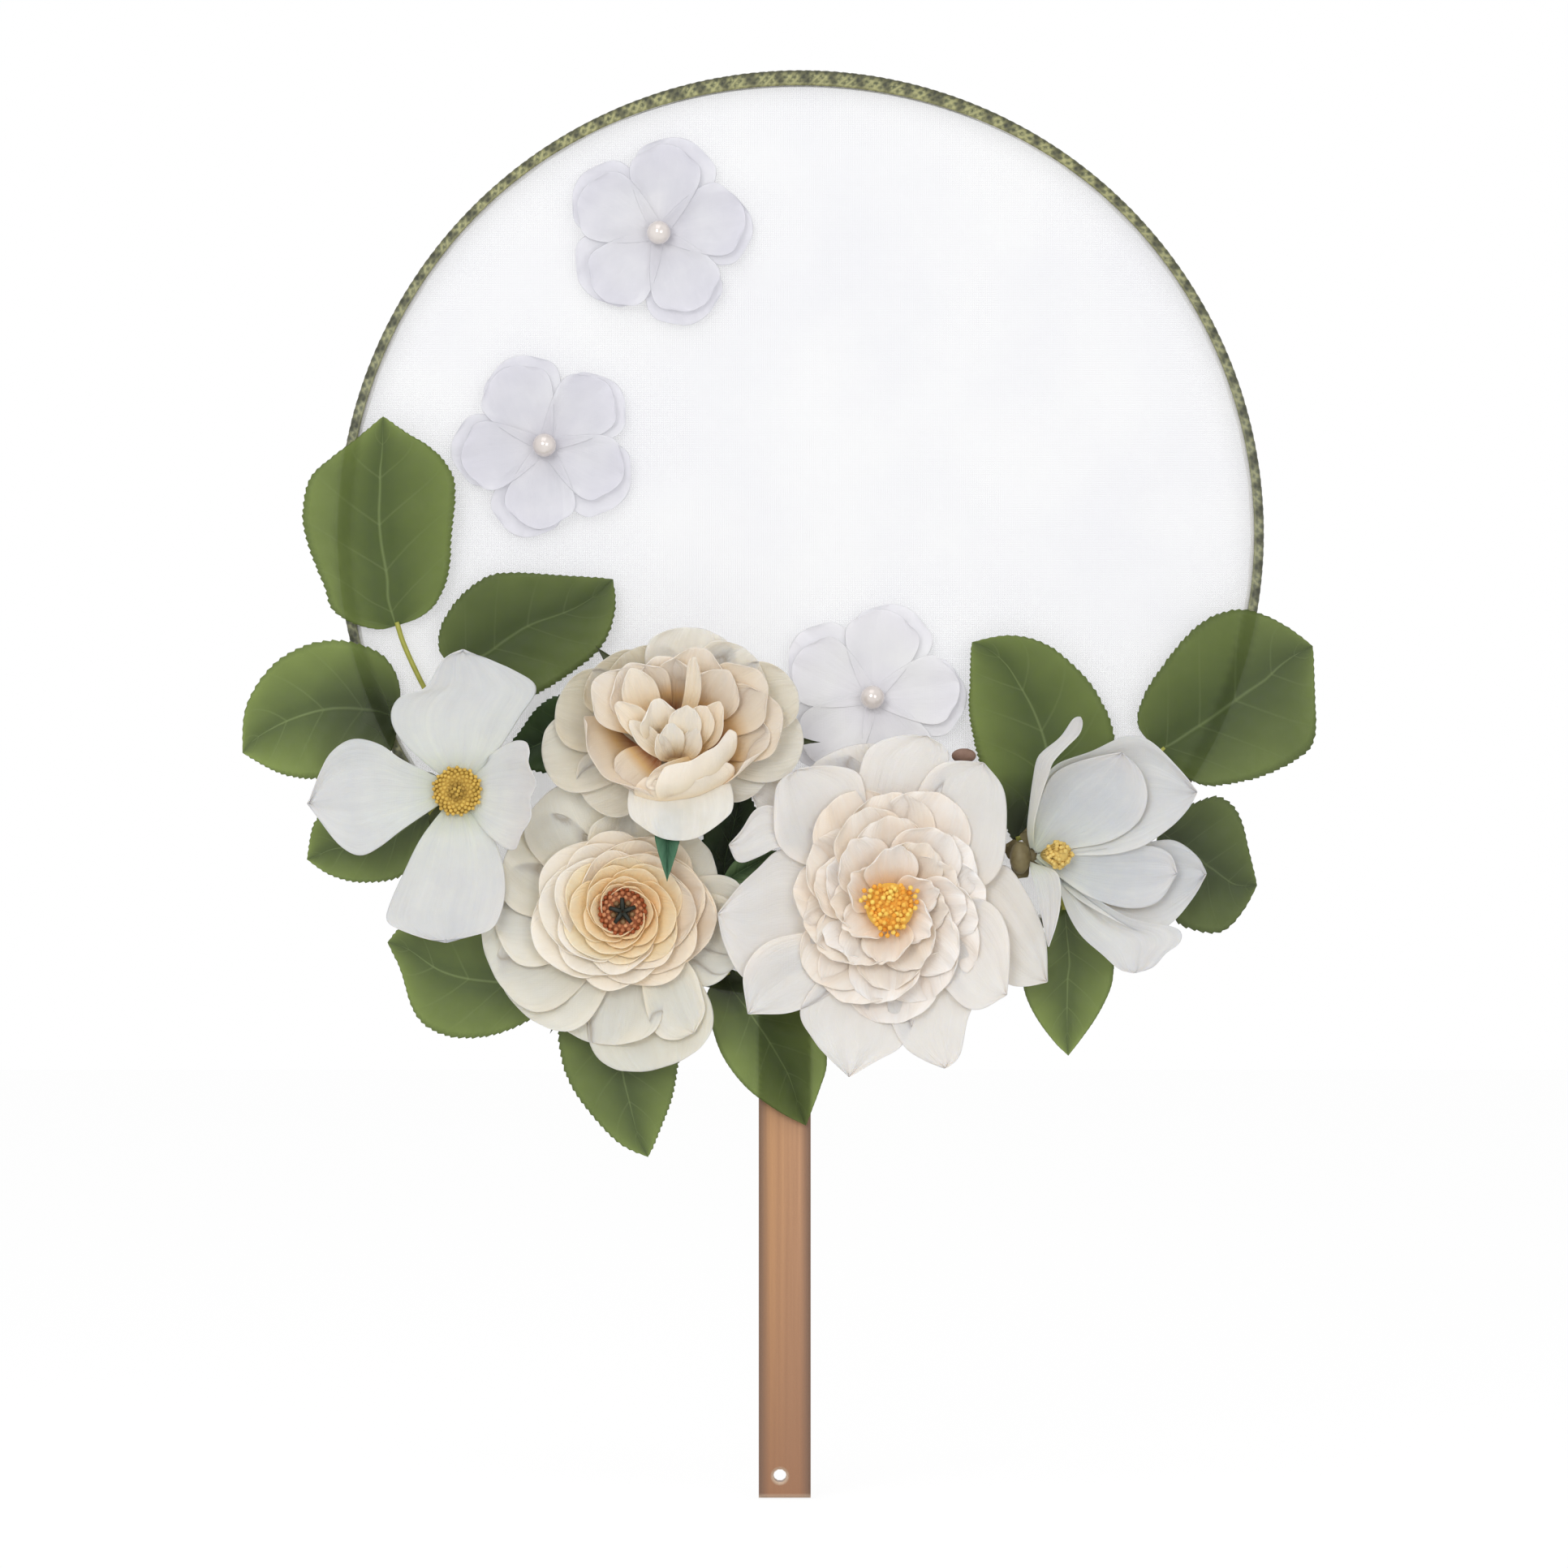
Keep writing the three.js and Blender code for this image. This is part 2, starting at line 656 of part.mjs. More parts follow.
// Ranunculus with a ring of stamens round a green eye.
flower('ranunculus', {
  at: [244.9, 10.5],
  height: 6,
  calyxLook: paint.stem,
  layers: {
    outer_petals: {
      look: paint.cream,
      petals: [
        [88, 27], [118, 40], [158, 34], [203, 38], [240, 42], [275, 41], [312, 37], [350, 34], [390, 31],
      ],
      slopes: [0, 10],
      notch: 0.14,
      blunt: 0.6,
      lap: 0.9,
      rings: 2,
    },
    middle_petals: {
      look: paint.cream,
      petals: evenPetals(7, 27, 40),
      slopes: [8, 40],
      notch: 0.1,
      blunt: 0.6,
      lap: 0.8,
    },
    inner_petals: {
      look: paint.peach,
      petals: evenPetals(6, 21, 10),
      slopes: [14, 58],
      notch: 0.1,
      blunt: 0.6,
      lap: 0.6,
    },
  },
  centres: {
    stamens: { look: paint.rust, inner: 4.2, radius: 6.6, height: 7 },
    eye: { look: paint.darkGreen, radius: 3.6, height: 6, lobes: 5, depth: 0.3 },
  },
});

// Large peony.
flower('peony', {
  at: [283.3, 19.7],
  height: 8.5,
  calyxLook: paint.stem,
  layers: {
    guard_petals: {
      look: paint.white,
      petals: [
        [20, 31], [62, 42], [100, 43], [138, 46], [160, 45],
        [186, 49], [222, 48], [290, 47], [330, 42], [352, 41],
      ],
      slopes: [0, 12],
      notch: 0.14,
      blunt: 0.9,
      lap: 0.8,
      rings: 2,
    },
    outer_petals: {
      look: paint.white,
      petals: [[10, 33], [45, 45], [92, 40], [130, 44], [190, 42], [257, 48], [312, 40]],
      slopes: [6, 24],
      notch: 0.16,
      blunt: 1.1,
      lap: 1,
    },
    outer_ruffle: {
      look: paint.cream,
      petals: evenPetals(8, 33, 12),
      slopes: [14, 58],
      notch: 0.12,
      blunt: 0.8,
      lap: 0.9,
    },
    inner_ruffle: {
      look: paint.cream,
      petals: evenPetals(7, 26, 30),
      slopes: [24, 84],
      notch: 0.14,
      blunt: 0.8,
      lap: 0.7,
    },
  },
  centres: { stamens: { look: paint.gold, radius: 6, height: 9, lobes: 7, depth: 0.25 } },
});

// Magnolia, turned towards the right.
flower('magnolia', {
  at: [305.5, 16.5],
  height: 9,
  tiltY: 42,
  calyxLook: paint.darkGreen,
  layers: {
    outer_petals: {
      look: paint.white,
      hubRadius: 3,
      petals: [
        { angle: 52, length: 46, width: 32, slopes: [20, 62] },
        { angle: -12, length: 48, width: 29, slopes: [20, 62] },
        { angle: -60, length: 44, width: 25, slopes: [18, 60] },
        { angle: 105, length: 45, width: 15, slopes: [18, 62] },
        { angle: -118, length: 29, width: 16, slopes: [18, 66] },
      ],
    },
    inner_petals: {
      look: paint.white,
      hubRadius: 2.2,
      petals: [
        { angle: 20, length: 36, width: 22, slopes: [38, 74] },
        { angle: -36, length: 36, width: 20, slopes: [38, 74] },
      ],
    },
  },
  centres: { stamens: { look: paint.gold, radius: 2.4, height: 10, lobes: 5, depth: 0.2 } },
});

// Three organza flowers, flat on the cloth, each with a pearl.
const organzaFlowers = {
  organza_top: { at: [115.3, 33.4], reach: 26, first: 2 },
  organza_middle: { at: [161.1, 49.9], reach: 25.5, first: 38 },
  organza_lower: { at: [293.6, 74.5], reach: 26, first: 0 },
};
for (const [name, { at, reach, first }] of Object.entries(organzaFlowers)) {
  const place = faceSpot(at);
  const head = new THREE.Group();
  head.position.set(place.x, place.y, clothFront + seatGap + organzaThickness / 2);
  face.add(head);
  const layer = { notch: 0.3, blunt: 0.5, thickness: organzaThickness, rings: 2 };
  const back = petalLayer({ ...layer, petals: evenPetals(5, reach, first), slopes: [0, 6] });
  const front = petalLayer({ ...layer, petals: evenPetals(5, reach - 2, first + 9), slopes: [2, 12] });
  addPiece(head, `${name}_back_petals`, back, paint.organza);
  addPiece(head, `${name}_front_petals`, front, paint.organza).position.z = organzaThickness + seatGap;
  const pearl = weld(new THREE.SphereGeometry(pearlRadius, 10, 7));
  const pearlSeat = 1.5 * organzaThickness + 2 * seatGap;
  addPiece(head, `${name}_pearl`, pearl, paint.pearl).position.z = pearlSeat + pearlRadius;
}

export default fan;
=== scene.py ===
"""A round paddle hand fan with a spray of silk flowers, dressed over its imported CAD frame.

Sizes in the classes are millimetres and degrees, and become metres when a piece is placed.
On the face of the fan x runs right, y up and z towards the viewer, from the middle of the hoop.
"""

from __future__ import annotations

import logging
import math
import random
from dataclasses import dataclass, replace
from enum import Enum
from functools import lru_cache
from typing import Callable, Iterable, Sequence

import bmesh
import bpy
from mathutils import Euler, Matrix, Vector, noise


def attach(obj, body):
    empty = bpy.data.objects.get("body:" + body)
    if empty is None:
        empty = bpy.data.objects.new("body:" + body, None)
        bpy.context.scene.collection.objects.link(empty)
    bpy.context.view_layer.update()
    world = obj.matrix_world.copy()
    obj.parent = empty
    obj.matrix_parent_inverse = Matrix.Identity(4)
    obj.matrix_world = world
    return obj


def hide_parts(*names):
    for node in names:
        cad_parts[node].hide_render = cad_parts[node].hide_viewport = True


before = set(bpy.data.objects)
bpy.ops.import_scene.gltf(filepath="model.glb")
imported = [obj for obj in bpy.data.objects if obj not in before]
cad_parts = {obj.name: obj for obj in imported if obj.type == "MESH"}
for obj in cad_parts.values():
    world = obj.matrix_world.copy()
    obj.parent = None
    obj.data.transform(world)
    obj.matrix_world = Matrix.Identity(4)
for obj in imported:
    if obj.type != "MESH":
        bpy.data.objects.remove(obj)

LOG = logging.getLogger("fan")

MM = 0.001
BODY = "root"
HOOP_MIDDLE = (4.3, 0.0, 260.0)
ROD_CENTRE_RADIUS = 122.8
BRAID_MIDDLE = 123.0
# Painted shade on leaf cloth where the braid or the handle lies close behind it: half widths of the
# darkened bands and how much each darkens.
BRAID_SHADE = 2.2
BRAID_PAINTED_SHADE = 0.7
HANDLE_SHADE = 7.3
HANDLE_PAINTED_SHADE = 2.3
CLOTH_MIDDLE = 1.65
CLOTH_FRONT = 1.8
SEAT_GAP = 0.3
PETAL_WALL = 0.5
PETAL_CLOTH = 0.28
EDGE_WAVES = 2.5
CRUMPLE_SIZE = 9.0
RECEPTACLE_RADIUS = 3.2
LEAF_LEVEL = 4.5
GOLDEN_TURN = math.radians(137.5)
STALK_RADIUS = 0.7

Point = tuple[float, float]
Surface = Callable[[float, float], Vector]
Colour = tuple[float, float, float, float]
Mesh = bmesh.types.BMesh
Socket = bpy.types.NodeSocket


def srgb(red: int, green: int, blue: int) -> Colour:
    """Turns a colour as seen on screen into the linear colour that a shader takes.

    Args:
        red: Red from 0 to 255.
        green: Green from 0 to 255.
        blue: Blue from 0 to 255.

    Returns:
        The linear red, green and blue, with a full alpha.
    """

    def linear(level: int) -> float:
        """Linear light of one channel."""
        share = level / 255
        return share / 12.92 if share <= 0.04045 else ((share + 0.055) / 1.055) ** 2.4

    return (linear(red), linear(green), linear(blue), 1.0)


# Placing and shaping


def on_face(spot: Point, level: float, tilt: float = 0.0) -> Matrix:
    """Gives the matrix from a piece's own millimetres on the face to metres in the frame.

    Args:
        spot: Place on the face, x right and y up.
        level: Height above the middle plane of the hoop, towards the viewer.
        tilt: Turn about the face's y axis.

    Returns:
        The matrix that places the piece.
    """
    turned_head = Euler((0.0, math.radians(tilt), 0.0)).to_matrix().to_4x4()
    upright = Matrix.Rotation(math.radians(90), 4, "X")
    place = Matrix.Translation((spot[0], spot[1], level))
    return Matrix.Scale(MM, 4) @ Matrix.Translation(HOOP_MIDDLE) @ upright @ place @ turned_head


def polar(angle: float, inset: float) -> Point:
    """Gives the place on the face at an angle round the hoop and a distance in from its rod."""
    radius = ROD_CENTRE_RADIUS - inset
    turn = math.radians(angle)
    return (radius * math.cos(turn), radius * math.sin(turn))


def around(out: float, turn: float, up: float) -> Vector:
    """Gives the point at a distance, an angle in radians and a height round the z axis."""
    return Vector((out * math.cos(turn), out * math.sin(turn), up))


def knot_value(knots: Sequence[Point], share: float) -> float:
    """Reads a smooth line through a few (share, value) knots.

    Args:
        knots: The knots, in order of share.
        share: Where the line is read.

    Returns:
        The line's value there.
    """
    share = min(max(share, knots[0][0]), knots[-1][0])
    index = 0
    while index < len(knots) - 2 and share > knots[index + 1][0]:
        index += 1
    (from_share, from_value), (to_share, to_value) = knots[index], knots[index + 1]
    part = (share - from_share) / (to_share - from_share)
    before = knots[max(index - 1, 0)]
    after = knots[min(index + 2, len(knots) - 1)]
    span = to_share - from_share
    rise_from = (to_value - before[1]) / max(to_share - before[0], 1e-6) * span
    rise_to = (after[1] - from_value) / max(after[0] - from_share, 1e-6) * span
    square, cube = part * part, part * part * part
    return (
        (2 * cube - 3 * square + 1) * from_value
        + (cube - 2 * square + part) * rise_from
        + (3 * square - 2 * cube) * to_value
        + (cube - square) * rise_to
    )


@lru_cache(maxsize=None)
def spine(length: float, slopes: tuple[float, ...], share: float) -> tuple[float, float, float]:
    """Follows a petal's middle line, whose slope turns from root to tip.

    Args:
        length: Length of the whole line.
        slopes: Slopes at even steps from root to tip, in degrees.
        share: How far along the line, from 0 to 1.

    Returns:
        Distance out, height and slope in radians.
    """
    knots = [(i / (len(slopes) - 1), math.radians(slope)) for i, slope in enumerate(slopes)]
    steps = 16
    step = share / steps
    out = up = 0.0
    for i in range(steps):
        slope = knot_value(knots, (i + 0.5) * step)
        out += length * step * math.cos(slope)
        up += length * step * math.sin(slope)
    return out, up, knot_value(knots, share)


def through(points: Sequence[Sequence[float]], at: float) -> Vector:
    """Reads a smooth line through a few points, at a count of points from the first."""
    axes = ([(float(i), value) for i, value in enumerate(values)] for values in zip(*points))
    return Vector([knot_value(axis, at) for axis in axes])


def smooth_line(points: Sequence[Point], count: int) -> list[Vector]:
    """Draws a smooth line through a few points, at even distances.

    Args:
        points: The points, in order.
        count: How many steps the line gets.

    Returns:
        The line's points, one more than its steps.
    """
    fine = 12 * (len(points) - 1)
    dense = [through(points, i * (len(points) - 1) / fine).to_3d() for i in range(fine + 1)]
    reach = [0.0]
    for before, after in zip(dense, dense[1:]):
        reach.append(reach[-1] + (after - before).length)
    line = []
    index = 0
    for i in range(count + 1):
        goal = reach[-1] * i / count
        while index < len(dense) - 2 and reach[index + 1] < goal:
            index += 1
        part = (goal - reach[index]) / max(reach[index + 1] - reach[index], 1e-9)
        line.append(dense[index].lerp(dense[index + 1], part))
    return line


def both_sides(
    left: Sequence[Point], right: Sequence[Point], count: int
) -> tuple[list[Vector], list[Vector]]:
    """Gives the two sides of an outline as even points, first the one on the right hand.

    Args:
        left: One side, from root to tip.
        right: The other side.
        count: How many steps each side gets.

    Returns:
        The two sides, so that the loop out along the first and back along the second turns left.
    """
    first, second = smooth_line(right, count), smooth_line(left, count)
    loop = first + second[::-1]
    area = sum(a.x * b.y - b.x * a.y for a, b in zip(loop, loop[1:] + loop[:1]))
    return (first, second) if area > 0 else (second, first)


def crumple(spot: Vector, size: float, seed: float) -> float:
    """Gives a soft unevenness from -1 to 1 that repeats nowhere, size millimetres across."""
    return noise.noise(spot / size + Vector((seed, 0.37 * seed, -seed)))


# Meshes


def tone_layer(bm: Mesh) -> bmesh.types.BMLayerItem:
    """Gives the layer that keeps a tone on each point, and adds it the first time."""
    return bm.verts.layers.float.get("tone") or bm.verts.layers.float.new("tone")


def cloth_grid(bm: Mesh, rows: int, columns: int, surface: Surface, tone: float = 0.0) -> None:
    """Adds a strip of cloth to a mesh, with a UV map and a tone on its points.

    Args:
        bm: The mesh that grows.
        rows: Steps from root to tip.
        columns: Steps from side to side.
        surface: Gives the point for (along from 0 to 1, across from -1 to 1).
        tone: Lightness of this strip beside its neighbours, from -1 to 1: a random difference, or painted
            light and shade.
    """
    uv = bm.loops.layers.uv.verify()
    layer = tone_layer(bm)
    made = bmesh.ops.create_grid(bm, x_segments=rows, y_segments=columns, size=1.0)["verts"]
    for vert in made:
        for loop in vert.link_loops:
            loop[uv].uv = (0.5 + 0.5 * vert.co.y, 0.5 + 0.5 * vert.co.x)
    for vert in made:
        vert.co = surface(0.5 + 0.5 * vert.co.x, vert.co.y)
        vert[layer] = tone


def ring_edges(ring: Sequence[bmesh.types.BMVert]) -> list[bmesh.types.BMEdge]:
    """Gives the edges between the points of one ring."""
    members = set(ring)
    found: list[bmesh.types.BMEdge] = []
    for vert in ring:
        for edge in vert.link_edges:
            if edge.other_vert(vert) in members and edge not in found:
                found.append(edge)
    return found


def tube(bm: Mesh, points: Sequence[Vector], radius: float, sides: int = 10) -> None:
    """Adds a round bar along a few points, closed at both ends.

    Args:
        bm: The mesh that grows.
        points: The bar's middle line.
        radius: The bar's radius.
        sides: How many sides it has.
    """
    rings = []
    for i, point in enumerate(points):
        tangent = points[min(i + 1, len(points) - 1)] - points[max(i - 1, 0)]
        turn = Vector((0, 0, 1)).rotation_difference(tangent).to_matrix().to_4x4()
        place = Matrix.Translation(point) @ turn
        made = bmesh.ops.create_circle(bm, segments=sides, radius=radius, matrix=place)
        rings.append(made["verts"])
    for low, high in zip(rings, rings[1:]):
        bmesh.ops.bridge_loops(bm, edges=ring_edges(low) + ring_edges(high))
    for ring in (rings[0], rings[-1]):
        bmesh.ops.contextual_create(bm, geom=ring_edges(ring))
    faces = {face for ring in rings for vert in ring for face in vert.link_faces}
    bmesh.ops.recalc_face_normals(bm, faces=list(faces))


def turned(bm: Mesh, profile: Sequence[Point], steps: int) -> None:
    """Adds a solid turned round the z axis.

    Args:
        bm: The mesh that grows.
        profile: (radius, height) points from the foot's middle to the top's middle.
        steps: Faces round the turn.
    """
    verts = [bm.verts.new((out, 0.0, up)) for out, up in profile]
    edges = [bm.edges.new(pair) for pair in zip(verts, verts[1:])]
    before = set(bm.faces)
    bmesh.ops.spin(
        bm, geom=verts + edges, cent=(0, 0, 0), axis=(0, 0, 1), angle=2 * math.pi, steps=steps,
        use_merge=True, use_duplicate=False
    )
    fresh = [face for face in bm.faces if face not in before]
    corners = list({vert for face in fresh for vert in face.verts})
    bmesh.ops.remove_doubles(bm, verts=corners, dist=1e-4)
    bmesh.ops.recalc_face_normals(bm, faces=[face for face in bm.faces if face not in before])


def bead(bm: Mesh, place: Vector, radius: float, tone: float = 0.0) -> None:
    """Adds one small bead with its own tone."""
    layer = tone_layer(bm)
    made = bmesh.ops.create_icosphere(bm, subdivisions=1, radius=radius, matrix=Matrix.Translation(place))
    for vert in made["verts"]:
        vert[layer] = tone


def pad(bm: Mesh, profile: Sequence[Point], tone: float) -> None:
    """Adds the turned pad under a flower's stamens, with its own tone."""
    layer = tone_layer(bm)
    turned(bm, profile, 28)
    for vert in bm.verts:
        vert[layer] = tone


def filament(bm: Mesh, foot: Vector, head: Vector, radius: float, tone: float = 0.0) -> None:
    """Adds one thin thread from foot to head."""
    layer = tone_layer(bm)
    along = head - foot
    turn = Vector((0, 0, 1)).rotation_difference(along).to_matrix().to_4x4()
    made = bmesh.ops.create_cone(
        bm, cap_ends=True, segments=5, radius1=radius, radius2=0.7 * radius, depth=along.length,
        matrix=Matrix.Translation((foot + head) / 2) @ turn
    )
    for vert in made["verts"]:
        vert[layer] = tone


def stamen(
    bm: Mesh, foot: Vector, head: Vector, thread: float, thread_tone: float, radius: float, tone: float
) -> None:
    """Adds one stamen: its thread from foot to head, and its bead."""
    filament(bm, foot, head, thread, thread_tone)
    bead(bm, head, radius, tone)


def add_piece(
    name: str, bm: Mesh, place: Matrix, material: bpy.types.Material, slot: str,
    nodes: Iterable[str] = (), wall: float = 0.0, levels: int = 0
) -> bpy.types.Object:
    """Turns a mesh in its own millimetres into a finished piece that rides on the fan.

    Args:
        name: The piece's name.
        bm: Its mesh, which is used up.
        place: The matrix that places it.
        material: Its finish.
        slot: Not used.
        nodes: CAD nodes that it stands for.
        wall: Thickness that a sheet gets, in millimetres.
        levels: Levels of subdivision.

    Returns:
        The new object.
    """
    bmesh.ops.transform(bm, matrix=place, verts=bm.verts)
    for face in bm.faces:
        face.smooth = True
    mesh = bpy.data.meshes.new(name)
    bm.to_mesh(mesh)
    bm.free()
    mesh.materials.append(material)
    piece = bpy.data.objects.new(name, mesh)
    bpy.context.scene.collection.objects.link(piece)
    if wall > 0:
        shell = piece.modifiers.new("Wall", "SOLIDIFY")
        shell.thickness = wall * MM
        shell.offset = 0.0
    if levels > 0:
        rounding = piece.modifiers.new("Rounding", "SUBSURF")
        rounding.levels = levels
        rounding.render_levels = levels
    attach(piece, BODY)
    if nodes:
        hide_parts(*nodes)
    LOG.info("%s: %d faces", name, len(mesh.polygons))
    return piece


# Materials


class Graph:
    """A short way to write the nodes of one tree."""

    def __init__(self, tree: bpy.types.NodeTree) -> None:
        """Keeps the tree that the nodes go to."""
        self.tree = tree

    def node(self, kind: str, **settings: object) -> bpy.types.Node:
        """Adds a node and sets what is named."""
        made = self.tree.nodes.new(kind)
        for name, value in settings.items():
            setattr(made, name, value)
        return made

    def feed(self, target: Socket, value: object) -> None:
        """Links a socket, or sets it to a plain value."""
        if isinstance(value, Socket):
            self.tree.links.new(value, target)
        else:
            target.default_value = value

    def math(self, operation: str, first: object, second: object = 0.0, clamp: bool = False) -> Socket:
        """Adds a math node and gives its output."""
        made = self.node("ShaderNodeMath", operation=operation, use_clamp=clamp)
        self.feed(made.inputs[0], first)
        self.feed(made.inputs[1], second)
        return made.outputs[0]

    def times(self, first: object, second: object) -> Socket:
        """Gives one value times another."""
        return self.math("MULTIPLY", first, second)

    def plus(self, first: object, second: object) -> Socket:
        """Gives one value plus another."""
        return self.math("ADD", first, second)

    def less(self, first: object, second: object) -> Socket:
        """Gives one value less another."""
        return self.math("SUBTRACT", first, second)

    def rest(self, value: object, clamp: bool = False) -> Socket:
        """Gives what a value leaves of 1."""
        return self.math("SUBTRACT", 1.0, value, clamp)

    def size(self, value: object) -> Socket:
        """Gives a value without its sign."""
        return self.math("ABSOLUTE", value)

    def mix(self, factor: object, first: object, second: object, blend: str = "MIX") -> Socket:
        """Adds a colour mix and gives its output."""
        made = self.node("ShaderNodeMix", data_type="RGBA", blend_type=blend)
        self.feed(made.inputs[0], factor)
        self.feed(made.inputs[6], first)
        self.feed(made.inputs[7], second)
        return made.outputs[2]

    def ramp(self, value: object, stops: Sequence[tuple[float, Colour]]) -> Socket:
        """Adds a colour ramp and gives its colour."""
        made = self.node("ShaderNodeValToRGB")
        self.feed(made.inputs[0], value)
        elements = made.color_ramp.elements
        while len(elements) < len(stops):
            elements.new(1.0)
        for element, (place, colour) in zip(elements, stops):
            element.position = place
            element.color = colour
        return made.outputs[0]

    def spread(self, value: object, low: float, high: float) -> Socket:
        """Stretches a value so that low becomes 0 and high becomes 1."""
        made = self.node("ShaderNodeMapRange", clamp=True)
        self.feed(made.inputs[0], value)
        made.inputs[1].default_value = low
        made.inputs[2].default_value = high
        return made.outputs[0]

    def noise(self, vector: object, scale: float, detail: float = 3.0) -> Socket:
        """Adds a noise texture and gives its value."""
        made = self.node("ShaderNodeTexNoise")
        self.feed(made.inputs["Vector"], vector)
        made.inputs["Scale"].default_value = scale
        made.inputs["Detail"].default_value = detail
        return made.outputs[0]

    def scaled(self, vector: object, scale: Sequence[float]) -> Socket:
        """Scales a vector and gives it."""
        made = self.node("ShaderNodeMapping")
        self.feed(made.inputs["Vector"], vector)
        made.inputs["Scale"].default_value = scale
        return made.outputs[0]

    def apart(self, vector: object) -> tuple[Socket, ...]:
        """Splits a vector into x, y and z."""
        made = self.node("ShaderNodeSeparateXYZ")
        self.feed(made.inputs[0], vector)
        return tuple(made.outputs)

    def place(self, name: str = "Object") -> Socket:
        """Gives one of the texture coordinates."""
        return self.node("ShaderNodeTexCoord").outputs[name]

    def attribute(self, name: str) -> Socket:
        """Gives a value kept on the mesh's points."""
        return self.node("ShaderNodeAttribute", attribute_name=name).outputs["Fac"]

    def effect(self, effect: "Effect", **inputs: object) -> dict[str, Socket]:
        """Places a shared effect and gives its outputs by name."""
        made = self.node("ShaderNodeGroup", node_tree=effect.group())
        for name, value in inputs.items():
            self.feed(made.inputs[name], value)
        return {socket.name: socket for socket in made.outputs}

    def mottled(self, scale: float, base: object, blotch: Colour, amount: float) -> dict[str, Socket]:
        """Lays soft blotches over a colour, and gives the new colour and their mask."""
        return self.effect(
            Effect.MOTTLE, Vector=self.place(), Scale=scale, Base=base, Blotch=blotch, Amount=amount
        )

    def threads(self, pitch: float) -> Socket:
        """Gives the mask of crossing threads at a pitch in millimetres."""
        return self.effect(Effect.THREADS, Vector=self.place(), Pitch=pitch * MM)["Mask"]

    def grain(self, vector: object, scale: Sequence[float]) -> Socket:
        """Gives the mask of fine lines along a squeezed vector."""
        return self.effect(Effect.GRAIN, Vector=self.scaled(vector, scale))["Mask"]

    def fill(self, node: bpy.types.Node, values: dict[str, object]) -> None:
        """Links or sets several inputs of a node by their names."""
        for name, value in values.items():
            self.feed(node.inputs[name], value)

    def bump(self, height: object, distance: float, strength: float = 1.0) -> Socket:
        """Adds a bump, with its distance in millimetres, and gives its normal."""
        made = self.node("ShaderNodeBump")
        made.inputs["Strength"].default_value = strength
        made.inputs["Distance"].default_value = distance * MM
        self.feed(made.inputs["Height"], height)
        return made.outputs[0]


def new_material(name: str) -> tuple[bpy.types.Material, Graph, bpy.types.Node]:
    """Makes an empty material.

    Args:
        name: The material's name.

    Returns:
        The material, its graph and its Principled shader, already linked to the output.
    """
    material = bpy.data.materials.new(name)
    material.use_nodes = True
    graph = Graph(material.node_tree)
    material.node_tree.nodes.clear()
    shader = graph.node("ShaderNodeBsdfPrincipled")
    output = graph.node("ShaderNodeOutputMaterial")
    graph.feed(output.inputs["Surface"], shader.outputs[0])
    return material, graph, shader


class Effect(Enum):
    """Shared effects, each a node group that is built once."""

    THREADS = "cloth_threads"
    MOTTLE = "mottling"
    GRAIN = "long_grain"
    VEINS = "leaf_veins"

    def group(self) -> bpy.types.NodeTree:
        """Gives this effect's node group, and builds it the first time."""
        known = bpy.data.node_groups.get(self.value)
        if known:
            return known
        tree = bpy.data.node_groups.new(self.value, "ShaderNodeTree")
        builders = {
            Effect.THREADS: build_threads,
            Effect.MOTTLE: build_mottle,
            Effect.GRAIN: build_grain,
            Effect.VEINS: build_veins,
        }
        builders[self](tree)
        return tree


def group_sockets(
    tree: bpy.types.NodeTree, inputs: dict[str, str], outputs: dict[str, str]
) -> tuple[dict[str, Socket], bpy.types.Node]:
    """Gives a group its named sockets.

    Args:
        tree: The group.
        inputs: Input names and kinds.
        outputs: Output names and kinds.

    Returns:
        The inputs by name, and the node that takes the outputs.
    """
    for name, kind in inputs.items():
        tree.interface.new_socket(name=name, in_out="INPUT", socket_type=f"NodeSocket{kind}")
    for name, kind in outputs.items():
        tree.interface.new_socket(name=name, in_out="OUTPUT", socket_type=f"NodeSocket{kind}")
    entry = tree.nodes.new("NodeGroupInput")
    return {name: entry.outputs[name] for name in inputs}, tree.nodes.new("NodeGroupOutput")


def build_threads(tree: bpy.types.NodeTree) -> None:
    """Crossing threads: a mask that is 1 on a thread and 0 in the gaps."""
    graph = Graph(tree)
    inputs, exit_node = group_sockets(tree, {"Vector": "Vector", "Pitch": "Float"}, {"Mask": "Float"})
    first, second, third = graph.apart(inputs["Vector"])
    turns = []
    for line in (first, graph.plus(second, third)):
        angle = graph.times(graph.math("DIVIDE", line, inputs["Pitch"]), math.pi)
        turns.append(graph.size(graph.math("SINE", angle)))
    graph.feed(exit_node.inputs["Mask"], graph.math("MAXIMUM", turns[0], turns[1]))


def build_mottle(tree: bpy.types.NodeTree) -> None:
    """Soft blotches of a second colour over a first."""
    graph = Graph(tree)
    inputs, exit_node = group_sockets(
        tree,
        {"Vector": "Vector", "Scale": "Float", "Base": "Color", "Blotch": "Color", "Amount": "Float"},
        {"Color": "Color", "Mask": "Float"}
    )
    made = graph.node("ShaderNodeTexNoise")
    graph.feed(made.inputs["Vector"], inputs["Vector"])
    graph.feed(made.inputs["Scale"], inputs["Scale"])
    made.inputs["Detail"].default_value = 4.0
    mask = graph.spread(made.outputs[0], 0.38, 0.66)
    factor = graph.times(mask, inputs["Amount"])
    graph.feed(exit_node.inputs["Color"], graph.mix(factor, inputs["Base"], inputs["Blotch"]))
    graph.feed(exit_node.inputs["Mask"], mask)


